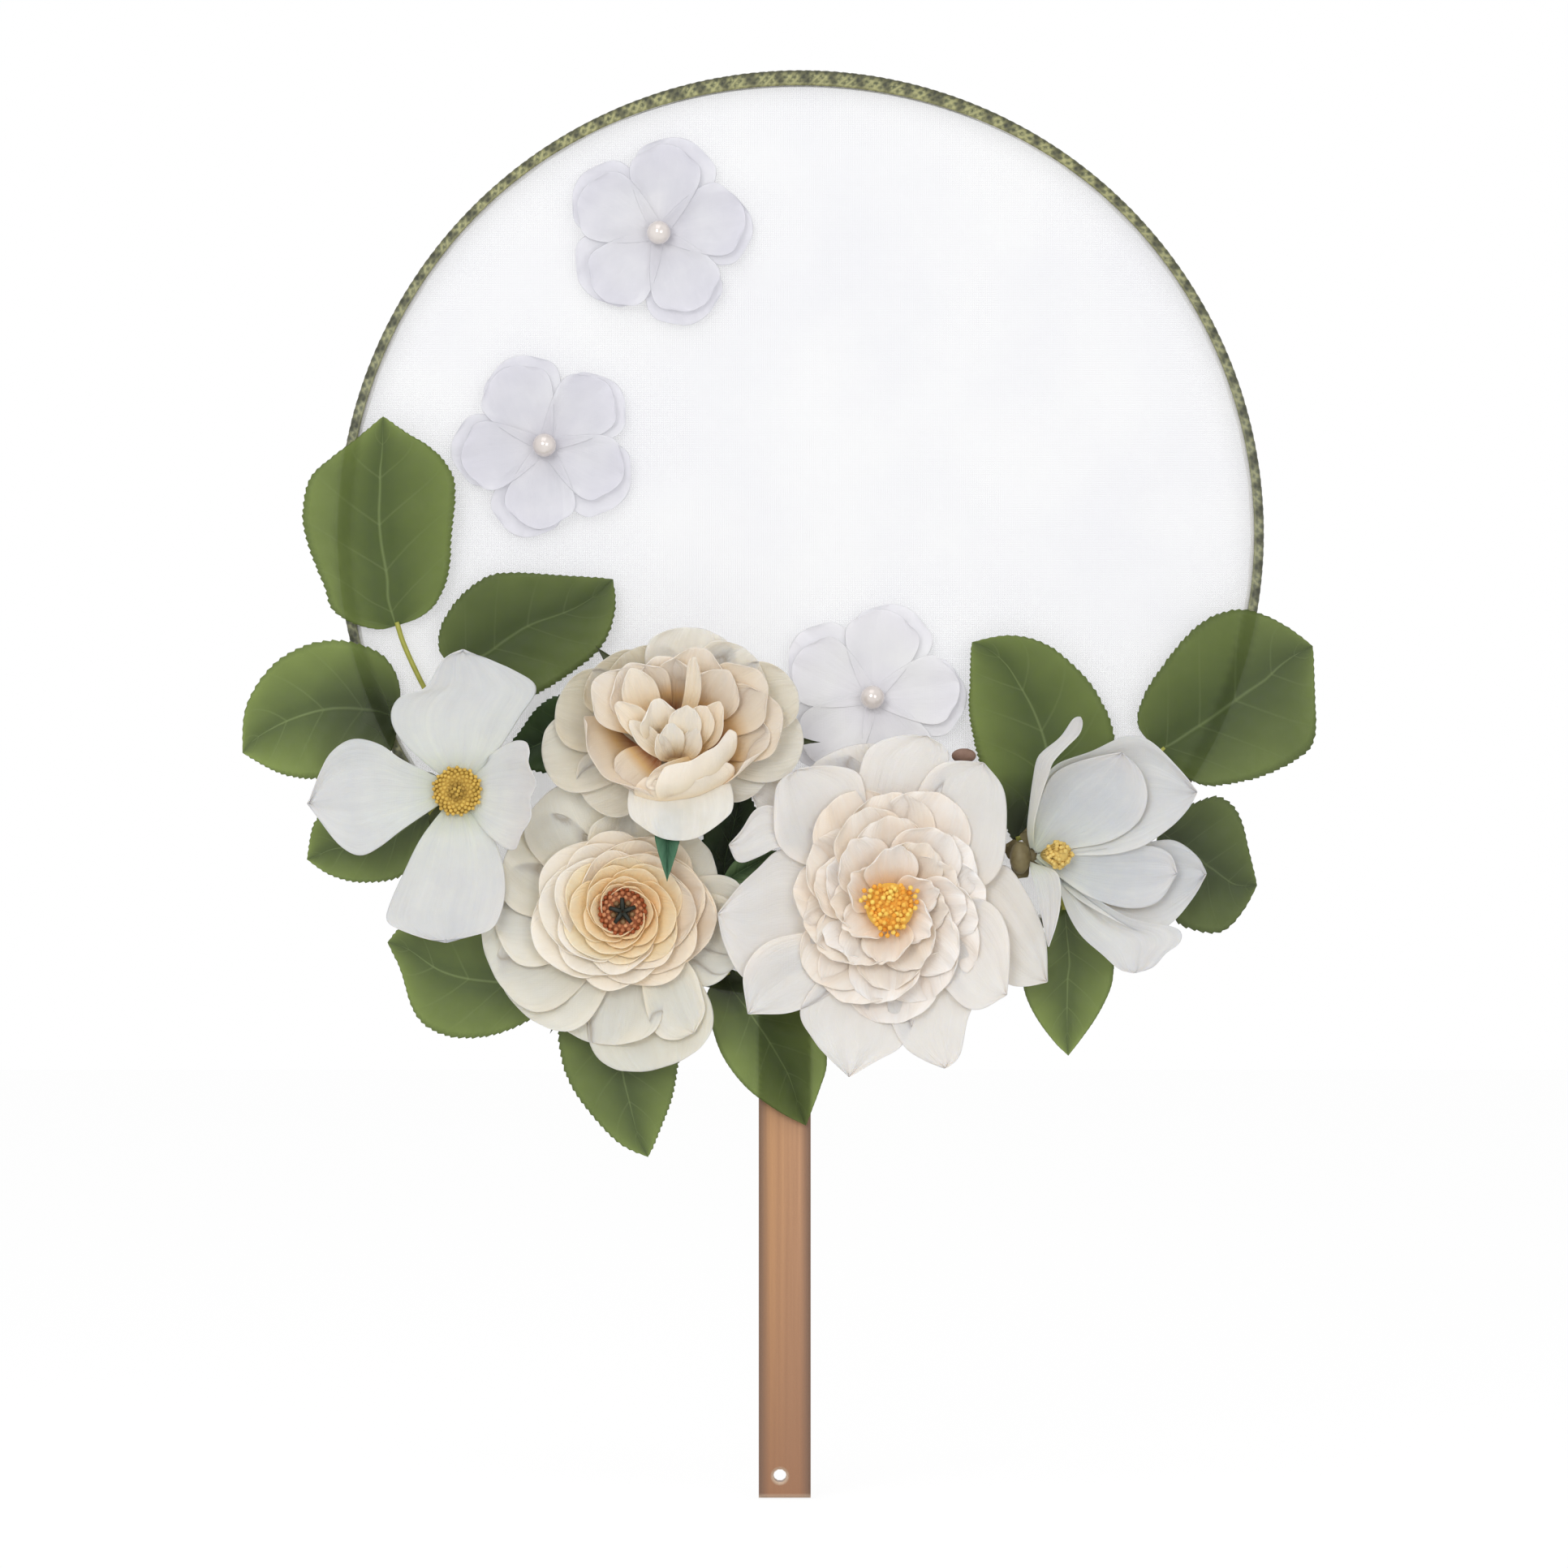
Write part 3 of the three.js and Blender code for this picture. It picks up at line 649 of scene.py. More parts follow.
def build_grain(tree: bpy.types.NodeTree) -> None:
    """Fine lines along a surface, from a vector that is squeezed along them."""
    graph = Graph(tree)
    inputs, exit_node = group_sockets(tree, {"Vector": "Vector"}, {"Mask": "Float"})
    broad = graph.noise(inputs["Vector"], 1.0, 2.0)
    fine = graph.noise(inputs["Vector"], 3.3, 3.0)
    both = graph.plus(graph.times(broad, 0.6), graph.times(fine, 0.4))
    graph.feed(exit_node.inputs["Mask"], graph.spread(both, 0.36, 0.64))


def build_veins(tree: bpy.types.NodeTree) -> None:
    """A leaf's midrib and side veins, from a map that runs across in x and along in y."""
    graph = Graph(tree)
    inputs, exit_node = group_sockets(
        tree, {"Vector": "Vector", "Pairs": "Float"}, {"Midrib": "Float", "Side": "Float"}
    )
    across, along, _ = graph.apart(inputs["Vector"])
    away = graph.size(graph.less(across, 0.5))
    width = graph.less(0.022, graph.times(along, 0.014))
    midrib = graph.rest(graph.math("DIVIDE", away, width), clamp=True)
    swept = graph.less(along, graph.times(away, 0.42))
    wave = graph.size(graph.math("SINE", graph.times(swept, graph.times(inputs["Pairs"], math.pi))))
    side = graph.rest(graph.times(wave, 7.0), clamp=True)
    fade = graph.rest(graph.times(away, 1.7), clamp=True)
    graph.feed(exit_node.inputs["Midrib"], midrib)
    graph.feed(exit_node.inputs["Side"], graph.times(side, fade))


@dataclass(frozen=True)
class Finish:
    """A finish whose material is built the first time that it is asked for."""

    name: str

    def material(self) -> bpy.types.Material:
        """Gives the material, and builds it the first time."""
        known = bpy.data.materials.get(self.name)
        if known:
            return known
        material, graph, shader = new_material(self.name)
        graph.fill(shader, self.inputs(graph))
        return material

    def inputs(self, graph: Graph) -> dict[str, object]:
        """Gives the values and links of the shader's inputs by name."""
        raise NotImplementedError


@dataclass(frozen=True)
class PetalFinish(Finish):
    """Printed silk for petals, coloured from the root to the edge."""

    root: Colour
    heart: Colour
    body: Colour
    edge: Colour
    shade: Colour
    pleats: float = 9.0
    pleat_share: float = 0.2
    blotch_share: float = 0.25
    alpha: float = 1.0
    sheen: float = 0.25
    glow: float = 0.5
    dim: Colour | None = None
    dim_share: float = 0.18
    stops: tuple[float, float, float, float] = (0.0, 0.22, 0.5, 0.93)
    blotch_scale: float = 110.0
    thread_pitch: float = 0.45
    pleat_relief: float = 1.6
    thread_relief: float = 0.35

    def inputs(self, graph: Graph) -> dict[str, object]:
        """Gives the shader's inputs by name."""
        uv = graph.place("UV")
        _, along, _ = graph.apart(uv)
        colour = graph.ramp(along, list(zip(self.stops, (self.root, self.heart, self.body, self.edge))))
        pleats = graph.grain(uv, (self.pleats, 0.8, 1.0))
        # Painted shade: the shade colour is laid along the pleats and in soft blotches.
        colour = graph.mix(graph.times(pleats, self.pleat_share), colour, self.shade)
        colour = graph.mottled(self.blotch_scale, colour, self.shade, self.blotch_share)["Color"]
        # The tone attribute mixes in the dimmed colour: random differences between petals, and painted
        # light and shade on petals set lighter or darker.
        tone = graph.spread(graph.attribute("tone"), -1.0, 1.0)
        dimmed = graph.mix(self.dim_share, colour, self.dim or self.shade, "MULTIPLY")
        threads = graph.threads(self.thread_pitch)
        folds = graph.times(pleats, self.pleat_relief)
        height = graph.plus(folds, graph.times(threads, self.thread_relief))
        return {
            "Base Color": graph.mix(tone, dimmed, colour),
            "Normal": graph.bump(height, 0.12, 0.7),
            "Roughness": graph.plus(0.68, graph.times(threads, 0.18)),
            "Specular IOR Level": 0.25,
            "Sheen Weight": self.sheen,
            "Alpha": self.alpha,
            "Subsurface Weight": self.glow,
            "Subsurface Radius": (1.0, 0.75, 0.5),
            "Subsurface Scale": 2.5 * MM,
        }


@dataclass(frozen=True)
class LeafFinish(Finish):
    """Printed and pressed leaf cloth, thin enough to show what is close behind it, with painted shade
    where its tone is low.
    """

    deep: Colour
    fresh: Colour
    vein: Colour
    painted_shade_tint: Colour = srgb(104, 108, 108)
    painted_shade_share: float = 0.9
    pairs: float = 6.0
    alpha: float = 0.86
    blotch_scale: float = 60.0
    blotch_share: float = 0.35
    fleck_scale: float = 420.0
    fleck_share: float = 0.06
    side_share: float = 0.25
    midrib_share: float = 0.55
    rim: Point = (0.455, 0.495)
    rim_share: float = 0.4
    thread_pitch: float = 0.4
    thread_relief: float = 0.1

    def inputs(self, graph: Graph) -> dict[str, object]:
        """Gives the shader's inputs by name."""
        uv = graph.place("UV")
        across, along, _ = graph.apart(uv)
        away = graph.size(graph.less(across, 0.5))
        outer = graph.spread(graph.plus(away, graph.times(along, 0.16)), 0.15, 0.62)
        colour = graph.mix(outer, self.deep, self.fresh)
        colour = graph.mottled(self.blotch_scale, colour, self.deep, self.blotch_share)["Color"]
        flecked = graph.mottled(self.fleck_scale, colour, self.fresh, self.fleck_share)
        veins = graph.effect(Effect.VEINS, Vector=uv, Pairs=self.pairs)
        colour = graph.mix(graph.times(veins["Side"], self.side_share), flecked["Color"], self.vein)
        colour = graph.mix(graph.times(veins["Midrib"], self.midrib_share), colour, self.vein)
        rim = graph.spread(away, *self.rim)
        colour = graph.mix(graph.times(rim, self.rim_share), colour, self.deep)
        # Painted shade: where the tone attribute is low, the colour is multiplied by a grey tint, for a
        # leaf's shaded root and over the braid and the handle.
        painted_shade_colour = graph.mix(self.painted_shade_share, colour, self.painted_shade_tint, "MULTIPLY")
        tone = graph.spread(graph.attribute("tone"), -2.2, 1.0)
        raised = graph.plus(veins["Midrib"], graph.times(veins["Side"], 0.5))
        threads = graph.threads(self.thread_pitch)
        height = graph.plus(raised, graph.times(threads, self.thread_relief))
        return {
            "Base Color": graph.mix(tone, painted_shade_colour, colour),
            "Normal": graph.bump(height, 0.15, 0.8),
            "Roughness": graph.plus(0.5, graph.times(flecked["Mask"], 0.2)),
            "Specular IOR Level": 0.2,
            "Sheen Weight": 0.05,
            "Alpha": self.alpha,
        }


@dataclass(frozen=True)
class OrganzaFinish(Finish):
    """Sheer organza: fine threads that let light through between them."""

    thread: Colour
    tint: Colour
    low_alpha: float
    high_alpha: float
    pitch: float = 0.5
    tint_scale: float = 26.0
    tint_share: float = 0.7

    def inputs(self, graph: Graph) -> dict[str, object]:
        """Gives the shader's inputs by name."""
        threads = graph.threads(self.pitch)
        woven = graph.times(graph.spread(threads, 0.6, 1.0), self.high_alpha - self.low_alpha)
        return {
            "Base Color": graph.mottled(
                self.tint_scale, self.thread, self.tint, self.tint_share
            )["Color"],
            "Alpha": graph.plus(self.low_alpha, woven),
            "Normal": graph.bump(threads, 0.03, 0.5),
            "Roughness": graph.plus(0.5, graph.times(threads, 0.2)),
            "Specular IOR Level": 0.2,
            "Sheen Weight": 0.2,
        }


@dataclass(frozen=True)
class BraidFinish(Finish):
    """Metallic gimp braid: olive and gold strands with near-black flecks, and painted highlights and
    glints.
    """

    deep: Colour
    gold: Colour
    bright: Colour
    fleck: Colour
    grey: Colour
    length: float
    fleck_pitch: float
    fleck_slant: float = 0.45
    fleck_wander: float = 1.2
    fleck_wave: Point = (-0.3, 0.9)
    fleck_end: Point = (0.8, 1.1)
    fleck_share: float = 0.74
    rim: Point = (0.38, 0.56)
    rim_share: float = 0.72
    lip: Point = (0.72, 1.0)
    lip_share: float = 0.45
    glint_scale: float = 1500.0
    glints: Point = (0.5, 0.7)
    glint_share: float = 0.7
    grey_from_top: Point = (0.1, 0.22)
    grey_share: float = 0.4

    def inputs(self, graph: Graph) -> dict[str, object]:
        """Gives the shader's inputs by name."""
        across, along, _ = graph.apart(graph.place("UV"))
        # Painted highlight and shade: the strand tops, kept in the tone attribute, are lighter and the
        # hollows between them darker.
        relief = graph.spread(graph.attribute("tone"), -0.5, 1.0)
        colour = graph.ramp(relief, [(0.0, self.deep), (0.5, self.gold), (1.0, self.bright)])
        # Painted glints: fine random spots mixed towards the bright colour.
        glints = graph.spread(graph.noise(graph.place(), self.glint_scale, 2.0), *self.glints)
        colour = graph.mix(graph.times(glints, self.glint_share), colour, self.bright)
        inward = graph.size(graph.times(graph.less(across, 0.5), 2.0))
        lip = graph.spread(inward, *self.lip)
        colour = graph.mix(graph.times(lip, self.lip_share), colour, self.bright)
        rim = graph.rest(graph.spread(inward, *self.rim))
        turns = graph.times(along, self.length / self.fleck_pitch)
        strip = graph.node("ShaderNodeCombineXYZ")
        graph.feed(strip.inputs[0], turns)
        wander = graph.noise(strip.outputs[0], 0.6, 2.0)
        slanted = graph.plus(turns, graph.times(across, self.fleck_slant))
        phase = graph.plus(slanted, graph.times(wander, self.fleck_wander))
        wave = graph.math("SINE", graph.times(phase, 2.0 * math.pi))
        outward = graph.rest(graph.spread(inward, *self.fleck_end))
        flecks = graph.times(graph.spread(wave, *self.fleck_wave), outward)
        flecks = graph.times(flecks, self.fleck_share)
        dark = graph.math("MAXIMUM", flecks, graph.times(rim, self.rim_share))
        from_top = graph.size(graph.less(along, 0.5))
        sides = graph.spread(from_top, *self.grey_from_top)
        colour = graph.mix(graph.times(sides, self.grey_share), colour, self.grey)
        return {
            "Base Color": graph.mix(dark, colour, self.fleck),
            "Metallic": graph.times(relief, 0.3),
            "Roughness": graph.less(0.6, graph.times(relief, 0.15)),
            "Normal": graph.bump(graph.noise(graph.place(), 2600.0, 2.0), 0.12, 0.6),
        }


@dataclass(frozen=True)
class BambooFinish(Finish):
    """Split and sanded bamboo with fine fibres along its length."""

    left: Colour
    right: Colour
    low: Colour
    edge: Colour
    fibre: Colour
    fresh_cut: Colour
    half_width: float = 7.0
    hole: tuple[float, float, float] = (-1.3, 5.9, 1.8)
    low_height: float = 95.0
    low_share: float = 0.85
    streak_share: float = 0.3
    grain_share: float = 0.32
    edge_share: float = 0.8
    foot_share: float = 0.6
    cut_share: float = 0.85

    def inputs(self, graph: Graph) -> dict[str, object]:
        """Gives the shader's inputs by name."""
        spot = graph.place()
        x, _, z = graph.apart(spot)
        colour = graph.mix(graph.spread(x, -4.0 * MM, 4.0 * MM), self.left, self.right)
        rise = graph.spread(z, 0.0, self.low_height * MM)
        colour = graph.mix(graph.times(graph.rest(rise), self.low_share), colour, self.low)
        grain = graph.grain(spot, (900.0, 500.0, 9.0))
        streaks = graph.grain(spot, (230.0, 180.0, 4.0))
        colour = graph.mix(graph.times(streaks, self.streak_share), colour, self.fibre)
        colour = graph.mix(graph.times(grain, self.grain_share), colour, self.fibre)
        border = graph.spread(graph.size(x), (self.half_width - 3.0) * MM, (self.half_width - 0.8) * MM)
        colour = graph.mix(graph.times(border, self.edge_share), colour, self.edge)
        foot = graph.rest(graph.spread(z, 0.3 * MM, 1.3 * MM))
        hole_x, hole_z, hole_radius = self.hole
        apart_x, apart_z = graph.less(x, hole_x * MM), graph.less(z, hole_z * MM)
        square = graph.plus(graph.times(apart_x, apart_x), graph.times(apart_z, apart_z))
        from_hole = graph.math("SQRT", square)
        rim = graph.rest(graph.spread(from_hole, (hole_radius + 0.2) * MM, (hole_radius + 0.8) * MM))
        cut = graph.math("MAXIMUM", graph.times(foot, self.foot_share), rim)
        return {
            "Base Color": graph.mix(graph.times(cut, self.cut_share), colour, self.fresh_cut),
            "Roughness": graph.plus(0.42, graph.times(grain, 0.18)),
            "Normal": graph.bump(graph.plus(grain, streaks), 0.05, 0.5),
            "Coat Weight": 0.15,
            "Coat Roughness": 0.35,
        }


@dataclass(frozen=True)
class MouldedFinish(Finish):
    """Moulded and dipped small parts: stems, calyxes, stamens and eyes."""

    dark: Colour
    light: Colour
    gloss: float = 0.5
    scale: float = 420.0
    blotch_share: float = 0.45

    def inputs(self, graph: Graph) -> dict[str, object]:
        """Gives the shader's inputs by name."""
        tone = graph.spread(graph.attribute("tone"), -1.0, 1.0)
        colour = graph.mix(tone, self.dark, self.light)
        blotched = graph.mottled(self.scale, colour, self.dark, self.blotch_share)
        return {
            "Base Color": blotched["Color"],
            "Roughness": graph.plus(self.gloss, graph.times(blotched["Mask"], 0.2)),
            "Normal": graph.bump(graph.noise(graph.place(), 2200.0, 2.0), 0.08, 0.6),
        }


@dataclass(frozen=True)
class PearlFinish(Finish):
    """Nacre-coated bead."""

    nacre: Colour
    blush: Colour
    blush_scale: float = 160.0
    blush_share: float = 0.6

    def inputs(self, graph: Graph) -> dict[str, object]:
        """Gives the shader's inputs by name."""
        blotched = graph.mottled(self.blush_scale, self.nacre, self.blush, self.blush_share)
        return {
            "Base Color": blotched["Color"],
            "Roughness": graph.plus(0.1, graph.times(blotched["Mask"], 0.06)),
            "Normal": graph.bump(graph.noise(graph.place(), 500.0, 2.0), 0.02, 0.3),
            "Coat Weight": 1.0,
            "Coat Roughness": 0.03,
            "Metallic": 0.15,
        }


WHITE_SILK = PetalFinish(
    "white_silk", root=srgb(214, 220, 176), heart=srgb(231, 230, 216), body=srgb(231, 228, 220),
    edge=srgb(231, 227, 224), shade=srgb(208, 206, 208), pleat_share=0.35, blotch_share=0.4
)
IVORY_SILK = PetalFinish(
    "ivory_silk", root=srgb(238, 206, 166), heart=srgb(243, 227, 206), body=srgb(245, 235, 223),
    edge=srgb(246, 239, 231), shade=srgb(232, 219, 205)
)
WARM_IVORY_SILK = PetalFinish(
    "warm_ivory_silk", root=srgb(226, 190, 140), heart=srgb(242, 226, 194), body=srgb(246, 236, 214),
    edge=srgb(247, 240, 224), shade=srgb(226, 212, 186), blotch_share=0.3, pleat_share=0.25
)
# Its tan root is partly the silk's own tint and partly painted shade between the ruffles; its tan dim
# colour is painted shade, mixed in where a petal's tone is low.
BLUSH_SILK = PetalFinish(
    "blush_silk", root=srgb(214, 160, 108), heart=srgb(240, 206, 170), body=srgb(254, 244, 232),
    dim=srgb(230, 210, 178), dim_share=0.4, edge=srgb(255, 251, 246), shade=srgb(243, 216, 188),
    glow=0.25, stops=(0.05, 0.3, 0.6, 0.95)
)
# Its dark brown root is partly the rose's own orange and partly painted shade deep in the hollows; its
# dim colour is painted shade, mixed in where a petal's tone is low.
CREAM_SILK = PetalFinish(
    "cream_silk", root=srgb(150, 86, 34), heart=srgb(238, 194, 134), body=srgb(254, 238, 214),
    edge=srgb(254, 246, 234), shade=srgb(244, 220, 188), dim=srgb(176, 142, 100), dim_share=0.34,
    blotch_share=0.2, glow=0.3, stops=(0.22, 0.42, 0.6, 0.95)
)
# Its shade colour is painted shade, mixed in strongly on petals whose tone is low.
OUTER_CREAM_SILK = PetalFinish(
    "outer_cream_silk", root=srgb(222, 184, 130), heart=srgb(242, 226, 198), body=srgb(249, 240, 223),
    edge=srgb(250, 243, 230), shade=srgb(202, 190, 168), dim_share=0.6
)
# Its gold dim colour is painted shade, mixed in where a petal's tone is low.
PALE_CREAM_SILK = PetalFinish(
    "pale_cream_silk", root=srgb(244, 196, 124), heart=srgb(252, 226, 180), body=srgb(254, 241, 218),
    edge=srgb(254, 246, 232), shade=srgb(244, 226, 198), dim=srgb(240, 196, 126), dim_share=0.35,
    blotch_share=0.2, glow=0.3, stops=(0.1, 0.36, 0.66, 0.95)
)
PEACH_SILK = PetalFinish(
    "peach_silk", root=srgb(222, 146, 66), heart=srgb(250, 204, 124), body=srgb(255, 232, 174),
    edge=srgb(255, 243, 214), shade=srgb(248, 200, 128), pleat_share=0.25, dim_share=0.5, glow=0.3
)
SHEER_PETAL = PetalFinish(
    "sheer_petal_silk", root=srgb(244, 243, 248), heart=srgb(250, 249, 252), body=srgb(250, 250, 253),
    edge=srgb(244, 243, 249), shade=srgb(231, 230, 239), pleats=4.0, blotch_share=0.5, alpha=0.5,
    sheen=0.1, glow=0.0
)
# A lighter copy of the sheer silk: painted light for the lower organza flower, to make up for the shade
# that its neighbours cast on it.
SHEER_PETAL_PAINTED_LIGHT = replace(
    SHEER_PETAL, name="sheer_silk_painted_light", root=srgb(250, 249, 253), heart=srgb(254, 253, 255),
    body=srgb(255, 255, 255), edge=srgb(253, 252, 255), shade=srgb(244, 243, 250), blotch_share=0.4,
    alpha=0.6
)
LEAF_GREEN = LeafFinish(
    "leaf_green", deep=srgb(84, 100, 48), fresh=srgb(134, 152, 76), vein=srgb(146, 164, 104)
)
# Filler leaf cloth coloured nearly black: a real leaf, whose darkness is painted shade for the deep gaps
# between the flowers where it lies.
LEAF_IN_PAINTED_SHADE = LeafFinish(
    "leaf_in_painted_shade", deep=srgb(34, 52, 26), fresh=srgb(60, 84, 40), vein=srgb(90, 114, 64), alpha=0.92
)
BLADE_OLIVE = LeafFinish(
    "blade_olive", deep=srgb(63, 87, 55), fresh=srgb(121, 150, 103), vein=srgb(143, 169, 121), alpha=0.95
)
BLADE_GREEN = LeafFinish(
    "blade_green", deep=srgb(52, 92, 68), fresh=srgb(84, 128, 98), vein=srgb(116, 156, 124), alpha=0.95
)
FACE_ORGANZA = OrganzaFinish(
    "face_organza", thread=srgb(250, 250, 252), tint=srgb(240, 240, 246), low_alpha=0.14, high_alpha=0.23
)
GIMP = BraidFinish(
    "gimp_braid", deep=srgb(78, 82, 56), gold=srgb(114, 116, 82), bright=srgb(158, 156, 108),
    fleck=srgb(38, 40, 32), grey=srgb(118, 122, 112), length=740.0, fleck_pitch=7.0
)
BAMBOO = BambooFinish(
    "split_bamboo", left=srgb(196, 145, 96), right=srgb(202, 152, 111), low=srgb(150, 103, 71),
    edge=srgb(112, 84, 66), fibre=srgb(150, 108, 80), fresh_cut=srgb(216, 192, 168)
)
STEM_GREEN = MouldedFinish("stem_green", dark=srgb(140, 142, 54), light=srgb(188, 186, 84), gloss=0.4)
CALYX_GREEN = MouldedFinish("calyx_green", dark=srgb(52, 60, 34), light=srgb(96, 104, 60), gloss=0.5)
CALYX_BROWN = MouldedFinish("calyx_brown", dark=srgb(84, 72, 46), light=srgb(140, 128, 86), gloss=0.5)
BUD_BROWN = MouldedFinish("bud_brown", dark=srgb(108, 82, 70), light=srgb(164, 132, 114), gloss=0.6)
YELLOW_STAMEN = MouldedFinish(
    "yellow_stamen", dark=srgb(206, 168, 84), light=srgb(244, 218, 134), gloss=0.7
)
GOLD_STAMEN = MouldedFinish("gold_stamen", dark=srgb(158, 122, 42), light=srgb(228, 192, 92), gloss=0.6)
AMBER_STAMEN = MouldedFinish(
    "amber_stamen", dark=srgb(242, 152, 30), light=srgb(255, 230, 116), gloss=0.7
)
RUST_STAMEN = MouldedFinish("rust_stamen", dark=srgb(158, 78, 36), light=srgb(226, 164, 116), gloss=0.6)
PALE_ROD = MouldedFinish(
    "pale_painted_rod", dark=srgb(238, 236, 228), light=srgb(250, 249, 245), gloss=0.3
)
EYE_GREEN = MouldedFinish("eye_green", dark=srgb(20, 26, 14), light=srgb(150, 112, 72), gloss=0.5)
PEG_WOOD = MouldedFinish("peg_wood", dark=srgb(168, 136, 98), light=srgb(206, 176, 136), gloss=0.55)
NACRE = PearlFinish("nacre", nacre=srgb(226, 218, 213), blush=srgb(196, 183, 177))


# Petals


class Cut(Enum):
    """Outline that a petal is die-cut to, as (share of length, share of width)."""

    ROUND = ((0.0, 0.24), (0.25, 0.6), (0.5, 0.88), (0.72, 1.0), (0.9, 0.9), (1.0, 0.66))
    BROAD = ((0.0, 0.34), (0.25, 0.76), (0.55, 1.0), (0.85, 0.98), (1.0, 0.8))
    POINTED = ((0.0, 0.26), (0.3, 0.72), (0.58, 1.0), (0.8, 0.78), (0.94, 0.36), (1.0, 0.08))


@dataclass(frozen=True)
class Petal:
    """One petal, from its root near the flower's axis outwards."""

    angle: float
    length: float
    width: float
    slopes: tuple[float, ...]
    cut: Cut = Cut.ROUND
    root: float = 1.2
    cup: float = 1.5
    lap: float = 0.0
    ruffle: float = 0.7
    uneven: float = 0.8
    round_tip: float = 2.2
    notch: float = 0.0
    wrap: float = 0.0
    base: float = 0.0
    seed: float = 0.0
    tone: float = 0.0

    def point(self, along: float, across: float) -> Vector:
        """Gives a point of the petal in the flower's own frame.

        Args:
            along: From 0 at the root to 1 at the tip.
            across: From -1 to 1, side to side.

        Returns:
            The point.
        """
        dip = max(0.0, 1.0 - 2.6 * abs(across)) ** 2
        retreat = (self.round_tip * across**2 + self.notch * dip) * along**3
        share = round(max(along - retreat / self.length, 0.0), 4)
        out, up, slope = spine(self.length, self.slopes, share)
        half = 0.5 * self.width * knot_value(self.cut.value, along)
        side = half * across
        lift = self.cup * across**2 * math.sin(0.5 * math.pi * along) + self.lap * across * along
        wave = math.sin(EDGE_WAVES * math.pi * across + 1.7 * self.seed)
        lift += self.ruffle * wave * along**2
        flat = Vector((self.length * along, side, 0.0))
        lift += self.uneven * along * crumple(flat, CRUMPLE_SIZE, self.seed)
        radius = self.root + out - lift * math.sin(slope)
        turn = self.wrap * side / max(radius, 5.0)
        rest = (1.0 - self.wrap) * side
        x = radius * math.cos(turn) - rest * math.sin(turn)
        y = radius * math.sin(turn) + rest * math.cos(turn)
        heading = math.radians(self.angle)
        return Vector(
            (
                x * math.cos(heading) - y * math.sin(heading),
                x * math.sin(heading) + y * math.cos(heading), self.base + up + lift * math.cos(slope)
            )
        )


@dataclass(frozen=True)
class OutlinePetal:
    """A petal cut to its own outline, from its two sides and its heights at root, middle and tip."""

    left: tuple[Point, ...]
    right: tuple[Point, ...]
    heights: tuple[float, float, float]
    scallops: float = 0.0
    ruffle: float = 0.6
    cup: float = 1.4
    twist: float = 0.0
    crease: tuple[float, float] = (0.0, 0.0)
    base: float = 0.0
    seed: float = 0.0
    tone: float = 0.0
    rows: int = 30
    scallop_count: int = 11
    uneven: float = 0.9
    uneven_size: float = 10.0
    crease_width: float = 0.02

    def surface(self) -> Surface:
        """Gives the petal's surface."""
        right, left = both_sides(self.left, self.right, self.rows)
        reach = max(point.length for point in right + left)
        heights = list(zip((0.0, 0.5, 1.0), self.heights))

        def point(along: float, across: float) -> Vector:
            """Gives one point of the petal."""
            row = min(round(along * self.rows), self.rows)
            flat = right[row].lerp(left[row], 0.5 + 0.5 * across)
            edge = max(abs(across) ** 6, along**10)
            scallop = math.sin(math.pi * self.scallop_count * across + 9 * along)
            flat *= 1 + edge * self.scallops * scallop / reach
            up = knot_value(heights, along)
            lift = self.cup * across**2 * math.sin(math.pi * min(along, 0.85))
            lift += self.twist * across * math.sin(math.pi * min(along, 0.75))
            lift += self.ruffle * math.sin(EDGE_WAVES * math.pi * across + self.seed) * along**2
            lift += self.uneven * along * crumple(flat, self.uneven_size, self.seed)
            at, depth = self.crease
            fold = math.exp(-((across - at) ** 2) / self.crease_width)
            lift += depth * fold * math.sin(math.pi * along)
            return Vector((flat.x, flat.y, self.base + up + lift))

        return point


@dataclass(frozen=True)
class SweptPetal:
    """A petal that follows its own middle line from root to tip, as (x, y, height) points."""

    line: tuple[tuple[float, float, float], ...]
    width: float
    cut: Cut = Cut.ROUND
    heading: float | None = None
    lean: float = 0.0
    cup: float = 1.5
    curl: float = 0.0
    lap: float = 0.0
    ruffle: float = 0.3
    uneven: float = 0.5
    round_tip: float = 2.0
    seed: float = 0.0
    tone: float = 0.0

    def middle(self, share: float) -> Vector:
        """Gives a point of the middle line."""
        return through(self.line, (len(self.line) - 1) * share)

    def point(self, along: float, across: float) -> Vector:
        """Gives a point of the petal.

        Args:
            along: From 0 at the root to 1 at the tip.
            across: From -1 to 1, side to side.

        Returns:
            The point.
        """
        root, tip = Vector(self.line[0]), Vector(self.line[-1])
        turn = math.atan2(tip.y - root.y, tip.x - root.x)
        if self.heading is not None:
            turn = math.radians(self.heading)
        ahead = Vector((math.cos(turn), math.sin(turn), 0.0))
        turn += math.radians(self.lean) * along
        aside = Vector((-math.sin(turn), math.cos(turn), 0.0))
        retreat = self.round_tip * across**2 * along**3 / (tip - root).length
        share = min(max(along - retreat, 0.02), 0.98)
        tangent = (self.middle(share + 0.02) - self.middle(share - 0.02)).normalized()
        face = tangent.cross(aside).normalized()
        side = 0.5 * self.width * knot_value(self.cut.value, along) * across
        middle = self.middle(max(along - retreat, 0.0))
        lift = self.cup * across**2 * math.sin(0.5 * math.pi * along) + self.lap * across * along
        lift += self.ruffle * math.sin(EDGE_WAVES * math.pi * across + self.seed) * along**2
        lift += self.uneven * along * crumple(middle + aside * side, CRUMPLE_SIZE, self.seed)
        return middle + aside * side + face * lift - ahead * self.curl * across**2 * along


